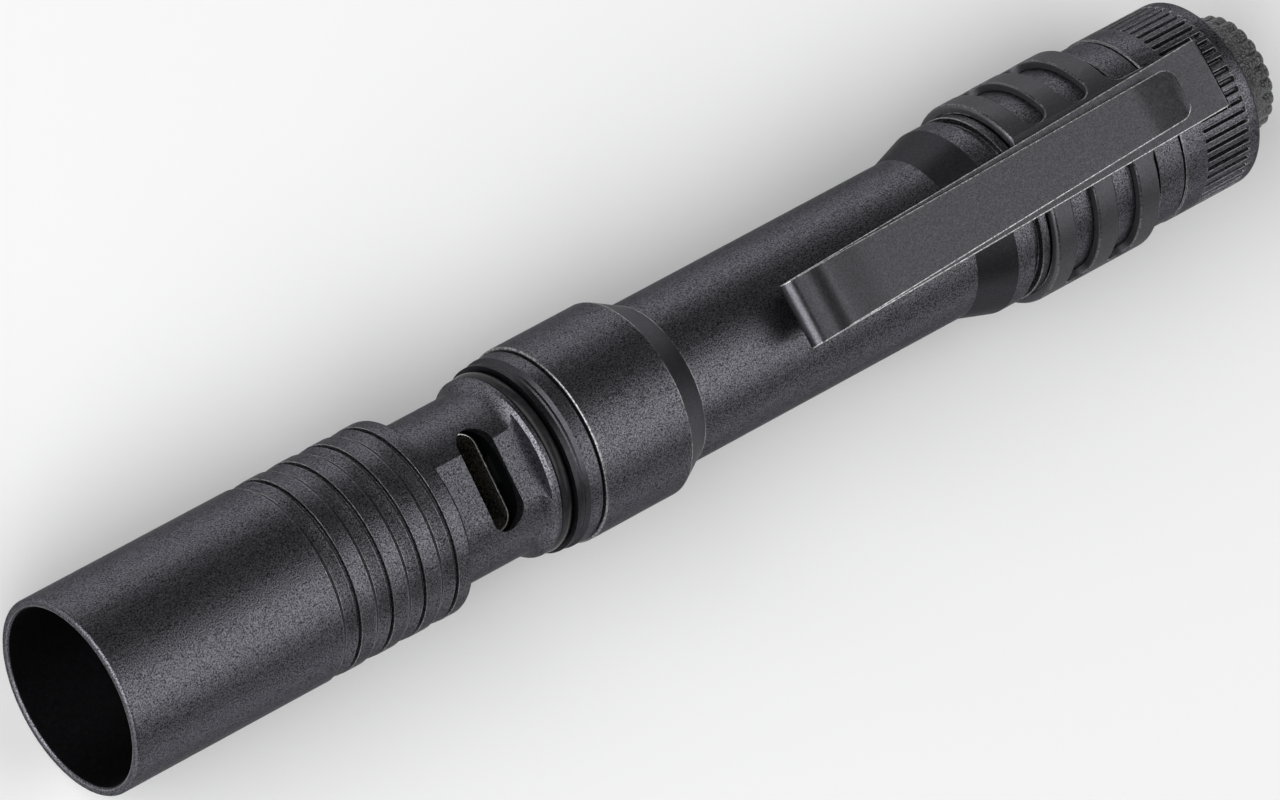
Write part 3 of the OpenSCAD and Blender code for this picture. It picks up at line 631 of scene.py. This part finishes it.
def anodise(piece, body, node, part, colour, **fine):
    """Completes an anodised piece, blasted all over, with lighter edges that are partly wear and partly a
    painted highlight.
    """
    finish, edge = blasted(f"Blasted {part}", colour.anodised), rubbed_and_highlight(f"Highlight_and_wear {part} edge", colour.rubbed_and_highlight)
    complete(piece, body, "anodised_body", finish, node, edge=edge, **fine)


# Operators


class PENLIGHT_OT_head_sleeve(Operator):
    """Turns the head sleeve with its rounded mouth and ring grooves"""

    bl_idname = "penlight.head_sleeve"
    bl_label = "Head sleeve"

    def execute(self, context):
        size = context.scene.penlight_head
        colour = context.scene.penlight_colours
        outer, inner, length = size.sleeve_radius, size.mouth_radius, size.sleeve_length
        entry, rise, line, line_depth, line_lean = 0.45 * MM, 1.0 * MM, 0.44 * MM, 0.38 * MM, 0.05 * MM
        shoulder, cone_start, cone_end = 16.95 * MM, 31.65 * MM, 33.05 * MM
        profile = arc(size.lip, outer - size.lip, size.lip, 180, 90)
        for ring in reversed(range(size.ring_count)):
            bottom = length - size.ring_last - ring * size.ring_pitch
            top = bottom + rise
            profile += [(bottom - entry, outer), (bottom, outer - size.ring_depth)]
            profile += [(top, outer - size.ring_step), (top + line_lean, outer - line_depth)]
            profile += [(top + line - line_lean, outer - line_depth), (top + line, outer)]
        profile += arc(length - size.rim, outer - size.rim, size.rim, 90, 0)
        profile += [(length, size.skirt_radius), (cone_end, size.skirt_radius)]
        profile += [(cone_start, size.guide_radius), (shoulder, size.guide_radius), (shoulder, inner)]
        profile += arc(size.lip, inner + size.lip, size.lip, 270, 200)
        sleeve = lathe("head_sleeve_turned", profile)
        anodise(sleeve, "sleeve", "head_sleeve", "sleeve", colour, width=0.04 * MM, angle=14, limit=18)
        bored = inner + 0.02 * MM
        # The bore takes the darker finish: partly turned metal, partly painted shade inside the sleeve.
        paint(sleeve, machined("Machined bore", colour.turned), lambda at, out, slope: out < bored)
        return {"FINISHED"}


class PENLIGHT_OT_lamp(Operator):
    """Turns the bezel, the lens and the reflector, and sets the lamp chip on its board"""

    bl_idname = "penlight.lamp"
    bl_label = "Lens and lamp"

    def execute(self, context):
        size = context.scene.penlight_head
        colour = context.scene.penlight_colours
        at, lens = size.bezel_at, size.lens_radius
        lip, cover, wall, room = 0.8 * MM, 0.8 * MM, 0.55 * MM, 0.05 * MM
        bezel_end, lens_at, lens_back = at + 4.0 * MM, at + 1.5 * MM, at + 3.1 * MM
        bowl_depth = 9.0 * MM
        board_at = lens_back + bowl_depth
        opening = lens - cover
        profile = [(at + lip / 2, opening), (at, opening + lip / 2), (at, size.bezel_radius)]
        profile += [(bezel_end, size.bezel_radius), (bezel_end, lens + wall), (lens_at, lens + wall)]
        profile += [(lens_at, lens + room), (at + lip, lens + room), (at + lip, opening)]
        bezel = lathe("bezel_turned", profile)
        # The bezel takes the darker finish: partly turned metal, partly painted shade deep in the mouth.
        turned = machined("Machined bezel", colour.turned)
        complete(bezel, "body", "bezel_metal", turned, "bezel_ring", width=0.1 * MM)
        glass = lathe("lens_ground", [(lens_at, 0.0), (lens_at, lens), (lens_back, lens), (lens_back, 0.0)])
        complete(glass, "body", "lens_glass", clear_glass("Coated glass"), "lens", width=0.15 * MM)
        rim, hole, foot, edge = lens - cover / 2, 1.9 * MM, 4.3 * MM, 1.0 * MM
        bowl = []
        for out in spaced(hole, rim, 14):
            bowl.append((board_at - bowl_depth * (out**2 - hole**2) / (rim**2 - hole**2), out))
        bowl += [(lens_back, lens), (lens_back + edge, lens), (board_at, foot), (board_at, hole)]
        reflector = lathe("reflector_pressed", bowl)
        mirror = bright_metal("Reflector coat", colour.mirror, 0.12, 0.4)
        complete(reflector, "body", "reflector_metal", mirror, "reflector")
        chip_radius, dome, chip_top = 1.7 * MM, 1.35 * MM, board_at - 0.7 * MM
        profile = [(board_at, 0.0), (board_at, chip_radius), (chip_top, chip_radius), (chip_top, dome)]
        chip = lathe("lamp_chip_dome", profile + arc(chip_top, 0.0, dome, 90, 180), 64)
        phosphor = plain_plastic("Phosphor", colour.phosphor, 0.25)
        complete(chip, "body", "lamp_phosphor", phosphor, "lamp_chip", width=0.05 * MM)
        return {"FINISHED"}


class PENLIGHT_OT_neck(Operator):
    """Turns the neck with its flanges, mills its flat and its port slot, and lays the seals in"""

    bl_idname = "penlight.neck"
    bl_label = "Neck and seals"

    def execute(self, context):
        size = context.scene.penlight_head
        colour = context.scene.penlight_colours
        neck, bore, nose, spigot = size.neck_radius, 6.3 * MM, 6.8 * MM, 7.0 * MM
        front, shoulder, foot = 14.25 * MM, 16.75 * MM, size.sleeve_length + 8.2 * MM
        slope, rise, hollow = 1.4 * MM, 0.75 * MM, 1.8
        crest, crest_width, seal_room = foot + slope, 0.35 * MM, 1.4 * MM
        flange, floor, stop, land = neck + rise, 6.8 * MM, 8.45 * MM, 8.6 * MM
        crest_end = crest + crest_width
        stop_at = crest_end + seal_room
        land_at = stop_at + crest_width + 0.9 * MM
        end = land_at + 1.25 * MM
        spigot_end = end + 7.5 * MM
        waist, ledge = stop - 0.25 * MM, stop - 0.13 * MM
        waist_at, waist_end = stop_at + 0.42 * MM, land_at - 0.62 * MM
        ledge_at, ledge_end = land_at - 0.50 * MM, land_at - 0.26 * MM
        profile = [(front, bore), (front, nose), (shoulder, nose), (shoulder, neck)]
        profile += [(foot + slope * share, neck + rise * share**hollow) for share in spaced(0.0, 1.0, 8)]
        profile += [(crest_end, flange), (crest_end, floor), (stop_at, floor), (stop_at, stop)]
        profile += [(stop_at + crest_width, stop), (waist_at, waist), (waist_end, waist), (ledge_at, ledge)]
        profile += [(ledge_end, ledge), (land_at, land), (end, land), (end, spigot), (spigot_end, spigot)]
        profile += [(spigot_end, bore)]
        tube = lathe("neck_turned", profile, 160)
        above, slot_floor, play = size.sleeve_radius + MM, 3.0 * MM, 0.1 * MM
        flat = oblong(-neck, neck, size.sleeve_length - 3.0 * MM, crest - 0.3 * MM)
        slot = stadium(size.port_width + play, size.port_thick + play)
        for at, outline, bottom in ((0.0, flat, size.flat_height), (size.port_at, slot, slot_floor)):
            cut(tube, upright("neck_cutter", at, size.port_turn, (outline, bottom), (outline, above)))
        anodise(tube, "body", "neck_tube", "neck", colour, width=0.035 * MM, angle=14, limit=18)
        # The grooves between the flanges take the darker finish: partly turned metal, partly painted shade.
        turned = machined("Machined flanges", colour.turned)
        turned_shade_from, turned_shade_to = crest_end - 0.04 * MM, land_at - 0.05 * MM
        paint(tube, turned, lambda at, out, slope: turned_shade_from < at < turned_shade_to)

        rubber = seal_rubber("Greased seal", colour.rubber)
        seal_out, seal_thick = 7.5 * MM, 0.65 * MM
        port_seal = lathe("port_seal_laid", arc(crest_end + seal_room / 2, seal_out, seal_thick, 0, 345, 23))
        complete(port_seal, "body", "seal_rubber", rubber, "port_seal_ring")
        gap_middle, gap_out, gap_thick = end + 0.125 * MM, 8.325 * MM, 0.12 * MM
        joint_seal = lathe("joint_seal_laid", arc(gap_middle, gap_out, gap_thick, 0, 330, 11), 128)
        complete(joint_seal, "body", "seal_rubber", rubber, "joint_seal")
        return {"FINISHED"}


class PENLIGHT_OT_port(Operator):
    """Draws the charging port's metal shell, and its tongue with rows of contacts"""

    bl_idname = "penlight.port"
    bl_label = "Charging port"

    def execute(self, context):
        size = context.scene.penlight_head
        colour = context.scene.penlight_colours
        base, wall, sink, play = -1.2 * MM, 0.22 * MM, 2.6 * MM, 0.1 * MM
        rim, place = size.flat_height - sink, (size.port_at, size.port_turn)
        outside = stadium(size.port_width, size.port_thick)
        inside = stadium(size.port_width - 2 * wall, size.port_thick - 2 * wall)
        shell = upright("port_shell_drawn", *place, (outside, base), (outside, rim))
        cut(shell, upright("port_hollow", *place, (inside, base - MM), (inside, rim + MM)))
        steel = bright_metal("Port shell steel", colour.shell, 0.3, 0.15)
        complete(shell, "body", "port_steel", steel, "port_shell", width=0.09 * MM, clamp=False)
        tip, taper_length, half, thick = rim - 0.7 * MM, 0.3 * MM, 3.345 * MM, 0.35 * MM
        tip_half, tip_thick, foot_height = half - 0.25 * MM, 0.2 * MM, 0.7 * MM
        blade = oblong(-half, half, -thick, thick)
        taper = oblong(-tip_half, tip_half, -tip_thick, tip_thick)
        levels = (blade, base), (blade, tip - taper_length), (taper, tip)
        tongue = upright("port_tongue_moulded", *place, *levels)
        moulded = plain_plastic("Moulded tongue", colour.moulded, 0.4)
        complete(tongue, "body", "port_plastic", moulded, "port_tongue", width=0.04 * MM)
        sole = stadium(size.port_width - 2 * wall - play, size.port_thick - 2 * wall - play)
        foot = upright("port_foot_moulded", *place, (sole, base), (sole, base + foot_height))
        complete(foot, "body", "port_plastic", moulded)
        brass = bright_metal("Contact plating", colour.brass, 0.25, 0.2)
        pad_half, pad_pitch, pad_count = 0.12 * MM, 0.5 * MM, 12
        pad_base, pad_tip = base + 1.0 * MM, tip - 0.5 * MM
        sunk, proud = thick - 0.05 * MM, thick + 0.02 * MM
        first = -(pad_count - 1) / 2 * pad_pitch
        face = oblong(first - pad_half, first + pad_half, -proud, -sunk)
        pad = upright("port_contact_front_1", *place, (face, pad_base), (face, pad_tip))
        pads = [pad]
        for side, back in (("front", 0.0), ("rear", sunk + proud)):
            for number in range(pad_count):
                if number or back:
                    move = on_flat(back, number * pad_pitch, 0, size.port_turn) - spot(0, 0)
                    pads.append(copied(pad, f"port_contact_{side}_{number + 1}", move))
        for pad in pads:
            complete(pad, "body", "contact_brass", brass)
        return {"FINISHED"}


class PENLIGHT_OT_barrel(Operator):
    """Turns the barrel from its collar to the grip's seat"""

    bl_idname = "penlight.barrel"
    bl_label = "Barrel"

    def execute(self, context):
        size = context.scene.penlight_tail
        colour = context.scene.penlight_colours
        collar, waist, seat = size.collar_radius, size.barrel_radius, size.seat_radius
        chamfer, joint_bore, bore, cap_bore = 0.1 * MM, 7.05 * MM, 5.55 * MM, 7.2 * MM
        start, collar_end, joint_end = size.collar_at, size.collar_at + size.collar_length, 56.55 * MM
        waist_at = collar_end + 2.7 * MM
        ridge_end = size.grip_at - 0.2 * MM
        ridge_at = ridge_end - 0.8 * MM
        land_end = ridge_at - 0.9 * MM
        land_at = land_end - 1.9 * MM
        cone_at = land_at - 3.6 * MM
        floor = seat - 0.6 * MM
        seat_at, seat_end = size.grip_at + 0.1 * MM, size.cap_at - 0.2 * MM
        cap_bore_at = seat_end - 6.1 * MM
        relief_at = size.grip_at + 3 * size.band_width + 2 * size.slot_width - 0.1 * MM
        relief_end = relief_at + 0.8 * MM
        profile = [(start, joint_bore), (start, collar - chamfer), (start + chamfer, collar)]
        profile += [(collar_end, collar), (waist_at, waist), (cone_at, waist), (land_at, seat)]
        profile += [(land_end, seat), (land_end, floor), (ridge_at, floor), (ridge_at, seat)]
        profile += [(ridge_end, seat), (ridge_end, floor), (seat_at, floor), (seat_at, seat)]
        profile += [(relief_at, seat), (relief_at, floor), (relief_end, floor), (relief_end, seat)]
        profile += [(seat_end, seat), (seat_end, cap_bore), (cap_bore_at, cap_bore), (cap_bore_at, bore)]
        profile += [(joint_end, bore), (joint_end, joint_bore)]
        barrel = lathe("barrel_turned", profile)
        anodise(barrel, "body", "barrel", "barrel", colour, width=0.07 * MM, angle=14, limit=20)
        smooth_slope = machined("Machined slope", colour.anodised)
        paint(barrel, smooth_slope, lambda at, out, slope: collar_end < at < waist_at)
        # The cone takes the darker finish: partly turned metal, partly painted shade.
        smooth_cone = machined("Machined cone", colour.turned)
        paint(barrel, smooth_cone, lambda at, out, slope: cone_at < at < land_at)
        return {"FINISHED"}


class PENLIGHT_OT_grip(Operator):
    """Turns the grip ring and cuts its slots and the recess behind it"""

    bl_idname = "penlight.grip"
    bl_label = "Grip"

    def execute(self, context):
        size = context.scene.penlight_tail
        colour = context.scene.penlight_colours
        outer, bore, edge = size.grip_radius, size.seat_radius + 0.05 * MM, 0.38 * MM
        start, width, near, far = size.grip_at, size.slot_width, size.slot_start, size.slot_end
        end = start + 3 * size.band_width + 2 * width
        spine_end = end + 3.45 * MM
        profile = [(start, bore)] + arc(start + edge, outer - edge, edge, 180, 90)
        ring = lathe("grip_moulded", profile + [(spine_end, outer), (spine_end, bore)], 240)
        rib, spine_drop = math.radians(12), 0.5 * MM
        for row in range(2):
            middle = start + size.band_width + width / 2 + row * (size.band_width + width)
            for first, last in ((near, far), (far + rib, math.pi - near)):
                for side in (1, -1):
                    cut(ring, grip_cutter(size, middle, width, side * first, side * last))
        recess = spine_end - end + 2 * MM
        share, lap, last_lap = (math.pi - near) / 3, 0.4, 0.03
        for side in (1, -1):
            for part, over in enumerate((lap, lap, last_lap)):
                first = near + part * share
                last = first + share + over
                cut(ring, grip_cutter(size, end + recess / 2, recess, side * first, side * last))
        flat, above = oblong(-outer, outer, start - MM, spine_end + MM), outer + 2 * MM
        cut(ring, upright("spine_cutter", 0.0, size.grip_turn, (flat, outer - spine_drop), (flat, above)))
        complete(ring, "body", "grip_plastic", satin("Satin grip", colour.satin), "grip_sleeve", angle=16)
        # The slot rims take a lighter finish: partly wear, partly a painted highlight.
        worn_and_highlight, rim, gentle, steep = rubbed_and_highlight("Highlight_and_wear grip edge", colour.worn_and_highlight), outer - 0.12 * MM, 18, 75
        paint(ring, worn_and_highlight, lambda at, out, slope: out > rim and gentle < slope < steep)
        return {"FINISHED"}


def grip_cutter(size, middle, width, first, last):
    """Solid that cuts a round-ended slot with a rounded upper edge through the grip, between two angles."""
    outer, soft, above = size.grip_radius, 0.16 * MM, 0.3 * MM
    corner = min(width, size.slot_width) / 2
    deep, high = 6.0 * MM, 12.0 * MM
    levels = [(deep, 0.0), (outer - soft, 0.0)]
    levels += [(outer - soft * (1 - share), soft * share * share) for share in (0.4, 0.75, 1.0)]
    levels += [(outer + above, soft + above), (high, soft + 0.4 * MM)]
    centre_turn, half_length = size.grip_turn + (first + last) / 2, abs(last - first) / 2 * outer
    loops = []
    for radius, grow in levels:
        flat = radius in (deep, high)
        loop = []
        for along, across in rounded_box(half_length + grow, width / 2 + grow, corner + grow):
            turn = along / outer
            out = radius / math.cos(turn) if flat else radius
            loop.append(spot(middle + across, out, centre_turn + turn))
        loops.append(loop)
    return prism("slot_cutter", loops)


def rounded_box(half_long, half_wide, corner, steps=10, straight=24):
    """Outline of a box with rounded corners, as (along, across), with points spread along its long sides."""
    middle_long, middle_wide = half_long - corner, half_wide - corner
    outline = []
    for quarter, (long, wide) in enumerate(((1, 1), (-1, 1), (-1, -1), (1, -1))):
        start = math.pi / 2 * quarter
        for turn in spaced(start, start + math.pi / 2, steps):
            along = long * middle_long + corner * math.cos(turn)
            outline.append((along, wide * middle_wide + corner * math.sin(turn)))
        if quarter in (0, 2):
            along, across = outline[-1]
            for step in range(1, straight):
                outline.append((along - long * 2 * middle_long * step / straight, across))
    apart = [outline[0]]
    for point in outline[1:]:
        if math.dist(point, apart[-1]) > MERGE * 4:
            apart.append(point)
    if math.dist(apart[0], apart[-1]) < MERGE * 4:
        apart.pop()
    return apart


def ribbon(name, stations, sheet, lean, pivot):
    """Strip of sheet metal along stations of (behind the mouth, height of its middle, half width).

    It is out of line with the light by the angle lean about the place pivot behind the mouth.
    """
    slope, left = math.tan(lean), []
    for behind, height, half in stations:
        left.append(spot(behind, 0) + Vector((0, (pivot - behind) * slope - half, height)))
    piece = begin(name, left[0])
    draw(left)
    bpy.ops.mesh.select_all(action="SELECT")
    bpy.ops.mesh.extrude_region_move()
    settle(piece, lambda at: Vector((at.x, 2 * (at.x - spot(pivot, 0).x) * slope - at.y, at.z)))
    close_up()
    wall = piece.modifiers.new("Sheet", "SOLIDIFY")
    wall.thickness = sheet
    wall.offset = 0.0
    apply_modifier(piece, wall)
    return piece


def eased(place, start, end, low, high):
    """Height at a place on a soft slope that goes from low at its start to high at its end."""
    share = (place - start) / (end - start)
    return low + (high - low) * (1 - math.cos(math.pi * share)) / 2


class PENLIGHT_OT_clip(Operator):
    """Forms the pocket clip's lower arm from root to tip, and its upper strip back from the fold"""

    bl_idname = "penlight.clip"
    bl_label = "Pocket clip"

    def execute(self, context):
        size = context.scene.penlight_tail
        colour = context.scene.penlight_colours
        sheet = size.clip_sheet
        low = size.clip_height + sheet / 2
        high = low + sheet + size.layer_gap
        tip, rear = size.clip_tip, size.clip_rear

        def half_width(behind):
            share = (behind - tip) / (rear - tip)
            return (size.clip_width_tip + (size.clip_width_root - size.clip_width_tip) * share) / 2

        fold_radius, corner, corner_start = 0.72 * MM, 0.3 * MM, 0.2
        fold_at = tip + fold_radius + sheet / 2
        lower = [(behind, low, half_width(behind)) for behind in spaced(fold_at, rear - corner, 60)]
        for turn in spaced(corner_start, math.pi / 2, 6):
            half = half_width(rear) - corner + corner * math.cos(turn)
            lower.append((rear - corner + corner * math.sin(turn), low, half))
        # The clip's rounded edges take a lighter finish: partly uncoated steel, partly a painted highlight.
        steel, edge = coated_steel("Coated clip steel", colour.steel), rubbed_and_highlight("Bare clip edge", colour.bare_and_highlight)
        fine = {"width": 0.1 * MM, "segments": 3, "edge": edge, "clamp": False}
        pivot = (tip + rear) / 2
        arm = ribbon("clip_lower", lower, sheet, size.clip_lean, pivot)
        complete(arm, None, "clip_steel", steel, "clip_base", "clip_arm", **fine)
        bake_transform(arm)

        middle, tip_half, upper = low + fold_radius, half_width(tip), []
        for turn in spaced(0.0, math.pi, 12):
            height = middle - fold_radius * math.cos(turn)
            upper.append((fold_at - fold_radius * math.sin(turn), height, tip_half))
        hump, valley = middle + fold_radius, high - 0.22 * MM
        hump_end, valley_at, level_at = tip + 1.9 * MM, tip + 4.6 * MM, tip + 9.0 * MM
        end, end_half, end_corner = size.strip_end, size.strip_width_end / 2, 1.15 * MM
        flare_at, corner_at, flare_curve = end - 4.0 * MM, end - end_corner, 1.3

        def strip_height(behind):
            if behind < hump_end:
                return hump
            if behind < valley_at:
                return eased(behind, hump_end, valley_at, hump, valley)
            if behind < level_at:
                return eased(behind, valley_at, level_at, valley, high)
            if behind > flare_at:
                return high + size.strip_flare * ((behind - flare_at) / (end - flare_at)) ** flare_curve
            return high

        def strip_half(behind):
            half = tip_half + (end_half - tip_half) * (behind - fold_at) / (end - fold_at)
            into = behind - corner_at
            if into > 0:
                half += math.sqrt(max(end_corner**2 - into**2, 0.0)) - end_corner
            return half

        places = spaced(fold_at, corner_at, 72)[1:]
        places += [corner_at + end_corner * math.sin(turn) for turn in spaced(0.0, math.pi / 2, 12)[1:]]
        upper += [(behind, strip_height(behind), strip_half(behind)) for behind in places]
        strip = ribbon("clip_upper", upper, sheet, size.clip_lean, pivot)
        complete(strip, None, "clip_steel", steel, "clip_strip", **fine)
        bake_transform(strip)
        return {"FINISHED"}


class PENLIGHT_OT_tail_cap(Operator):
    """Forms the tail cap with its ring of lengthwise grooves and its rounded end"""

    bl_idname = "penlight.tail_cap"
    bl_label = "Tail cap"

    def execute(self, context):
        size = context.scene.penlight_tail
        colour = context.scene.penlight_colours
        outer, end = size.cap_radius, size.cap_end
        count, depth, per_groove = size.serration_count, size.serration_depth, 8
        front, spigot, bore, hole = 107.65 * MM, 7.15 * MM, 5.95 * MM, 5.47 * MM
        round_end, groove_half = 0.6 * MM, 1.2
        groove_at, groove_end, inside = size.serration_at, end - 1.5 * MM, end - 1.5 * MM

        def grooved(turn):
            place = (turn / math.tau * count + 0.5) % 1.0 * per_groove
            return outer - depth if min(place, per_groove - place) < groove_half else outer

        at, chamfer, run_out, hole_edge = size.cap_at, 0.12 * MM, 0.08 * MM, 0.2 * MM
        rings = [(front, even(bore)), (front, even(spigot)), (at, even(spigot))]
        rings += [(at, even(outer - chamfer)), (at + chamfer, even(outer))]
        rings += [(groove_at - run_out, even(outer)), (groove_at, grooved)]
        rings += [(groove_end, grooved), (groove_end + run_out, even(outer))]
        for behind, out in arc(end - round_end, outer - round_end, round_end, 80, 0, 9):
            rings.append((behind, even(out)))
        rings += [(end, even(hole + hole_edge)), (end - hole_edge, even(hole)), (inside, even(hole))]
        rings += [(inside, even(bore)), (front, even(bore))]
        cap = loft("tail_cap_turned", count * per_groove, rings)
        close_up()
        anodise(cap, "body", "tail_cap", "cap", colour, width=0.05 * MM)
        return {"FINISHED"}


class PENLIGHT_OT_button(Operator):
    """Forms the grainy tail button with bumps round its end"""

    bl_idname = "penlight.button"
    bl_label = "Tail button"

    def execute(self, context):
        size = context.scene.penlight_tail
        colour = context.scene.penlight_colours
        radius, end, count, per_bump = size.button_radius, size.button_end, size.bump_count, 10
        flange_at, flange_end, flange = 119.85 * MM, 120.75 * MM, 5.83 * MM
        bump_at, edge, bump_depth, bump_curve = end - 1.5 * MM, 0.5 * MM, 0.32 * MM, 1.3
        bump_start, bump_full, core = bump_at - 0.4 * MM, bump_at + 0.25 * MM, 0.02 * MM
        shallow, dip, bump_inner, dip_out = 0.02 * MM, 0.06 * MM, radius - 1.1 * MM, radius - 1.9 * MM

        def bumpy(out, share=1.0):
            return lambda turn: out - share * bump_depth * (1 - abs(math.cos(turn * count / 2))) ** bump_curve

        rings = [(flange_at, even(core)), (flange_at, even(flange)), (flange_end, even(flange))]
        rings += [(flange_end, even(radius)), (bump_start, even(radius)), (bump_at, bumpy(radius, 0.35))]
        rings += [(bump_full, bumpy(radius)), (end - edge, bumpy(radius))]
        for behind, out in arc(end - edge, radius - edge, edge, 70, 0, 5):
            rings.append((behind, bumpy(out)))
        rings += [(end - shallow, bumpy(bump_inner, 0.6)), (end - dip, even(dip_out))]
        rings += [(end - shallow, even(radius / 3)), (end, even(core))]
        button = loft("tail_button_moulded", count * per_bump, rings)
        bpy.ops.mesh.edge_face_add()
        close_up()
        pebbles = pebbled_rubber("Pebbled rubber", colour.button)
        complete(button, "button", "button_rubber", pebbles, "tail_button", angle=50)
        return {"FINISHED"}


class PENLIGHT_OT_inner_parts(Operator):
    """Gives the pieces inside the light their finishes"""

    bl_idname = "penlight.inner_parts"
    bl_label = "Inner parts"

    def execute(self, context):
        colour = context.scene.penlight_colours
        board = plain_plastic("Solder mask", colour.board, 0.4)
        brass = bright_metal("Brass contact", colour.brass, 0.25)
        rubber = seal_rubber("Inner seal", colour.rubber)
        moulded = plain_plastic("Moulded black", colour.moulded, 0.45)
        finishes = {
            "lens_seal": rubber,
            "front_seal_ring": rubber,
            "tail_seal_ring": rubber,
            "lamp_board": plain_plastic("White mask", (0.8, 0.8, 0.78), 0.35),
            "lamp_leads": plain_plastic("Lead insulation", colour.lead, 0.35),
            "charge_board": board,
            "contact_board": board,
            "switch_board": board,
            "board_parts": moulded,
            "switch_housing": moulded,
            "switch_plunger": plain_plastic("Pale plunger", (0.6, 0.6, 0.58), 0.4),
            "front_contact_spring": brass,
            "rear_contact_spring": brass,
            "switch_retainer": brass,
            "switch_spring": bright_metal("Spring wire", colour.shell, 0.25),
            "battery_cell": plain_plastic("Cell wrap", colour.wrap, 0.25),
        }
        for node, finish in finishes.items():
            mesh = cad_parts[node].data
            mesh.materials.clear()
            mesh.materials.append(finish)
        return {"FINISHED"}


def softbox(name, place, target, power, width, height):
    """Soft rectangular lamp aimed at a target."""
    bpy.ops.object.light_add(type="AREA", location=place)
    lamp = bpy.context.active_object
    lamp.name = lamp.data.name = name
    lamp.data.shape = "RECTANGLE"
    lamp.data.size, lamp.data.size_y = width, height
    lamp.data.energy = power
    lamp.rotation_euler = (Vector(target) - Vector(place)).to_track_quat("-Z", "Y").to_euler()


class PENLIGHT_OT_studio(Operator):
    """Sets up the floor, the lamps, the room's light and the camera"""

    bl_idname = "penlight.studio"
    bl_label = "Studio"

    def execute(self, context):
        studio = context.scene.penlight_studio
        scene = context.scene
        bpy.ops.object.select_all(action="DESELECT")
        bpy.ops.mesh.primitive_plane_add(size=12.0, location=(0, 0, 0))
        floor = context.active_object
        floor.name = floor.data.name = "floor"
        paper = Finish("Floor paper", studio.floor_colour, 0.9, specular=0.1)
        paper.mottle(paper.noise(0.4, 2.0), 0.985, 1.015)
        floor.data.materials.append(paper.material)

        middle = (0.0, 0.0, AXIS_Z)
        softbox("key_lamp", (-0.55, 0.44, 0.76), middle, studio.key_power, width=1.1, height=0.8)
        softbox("side_lamp", (-0.5, -0.85, 0.05), middle, studio.side_power, width=0.9, height=0.1)
        softbox("front_lamp", (1.2, -0.15, 0.75), middle, studio.front_power, width=2.4, height=1.6)

        world = bpy.data.worlds.new("Room")
        scene.world = world
        world.use_nodes = True
        room = world.node_tree.nodes["Background"]
        room.inputs["Color"].default_value = (1.0, 1.0, 1.0, 1.0)
        room.inputs["Strength"].default_value = studio.world_level

        bpy.ops.object.camera_add(location=studio.camera_at, rotation=studio.camera_turn)
        camera = context.active_object
        camera.name = camera.data.name = "photo_camera"
        camera.data.sensor_width = 36.0
        camera.data.sensor_fit = "HORIZONTAL"
        camera.data.lens = studio.lens
        camera.data.clip_start, camera.data.clip_end = 0.05, 50.0
        scene.camera = camera
        scene.view_settings.view_transform = "Standard"
        return {"FINISHED"}


OPERATORS = (
    PENLIGHT_OT_studio,
    PENLIGHT_OT_head_sleeve,
    PENLIGHT_OT_lamp,
    PENLIGHT_OT_neck,
    PENLIGHT_OT_port,
    PENLIGHT_OT_barrel,
    PENLIGHT_OT_grip,
    PENLIGHT_OT_clip,
    PENLIGHT_OT_tail_cap,
    PENLIGHT_OT_button,
    PENLIGHT_OT_inner_parts,
)


class PENLIGHT_PT_panel(Panel):
    """Lists the pieces of the penlight and their sizes"""

    bl_idname = "PENLIGHT_PT_panel"
    bl_label = "Penlight"
    bl_space_type = "VIEW_3D"
    bl_region_type = "UI"
    bl_category = "Penlight"

    def draw(self, context):
        for operator in OPERATORS:
            self.layout.operator(operator.bl_idname, text=operator.bl_label)
        for name in GROUPS:
            column = self.layout.column(align=True)
            group = getattr(context.scene, name)
            for field in group.__annotations__:
                column.prop(group, field)


GROUPS = {
    "penlight_head": PenlightHeadSizes,
    "penlight_tail": PenlightTailSizes,
    "penlight_colours": PenlightColours,
    "penlight_studio": PenlightStudio,
}


def register():
    for group in GROUPS.values():
        bpy.utils.register_class(group)
    for name, group in GROUPS.items():
        setattr(bpy.types.Scene, name, PointerProperty(type=group))
    for operator in OPERATORS:
        bpy.utils.register_class(operator)
    bpy.utils.register_class(PENLIGHT_PT_panel)


def unregister():
    bpy.utils.unregister_class(PENLIGHT_PT_panel)
    for operator in reversed(OPERATORS):
        bpy.utils.unregister_class(operator)
    for name, group in GROUPS.items():
        delattr(bpy.types.Scene, name)
        bpy.utils.unregister_class(group)


def main():
    register()
    for operator in OPERATORS:
        category, name = operator.bl_idname.split(".")
        getattr(getattr(bpy.ops, category), name)()


if __name__ == "__main__":
    main()
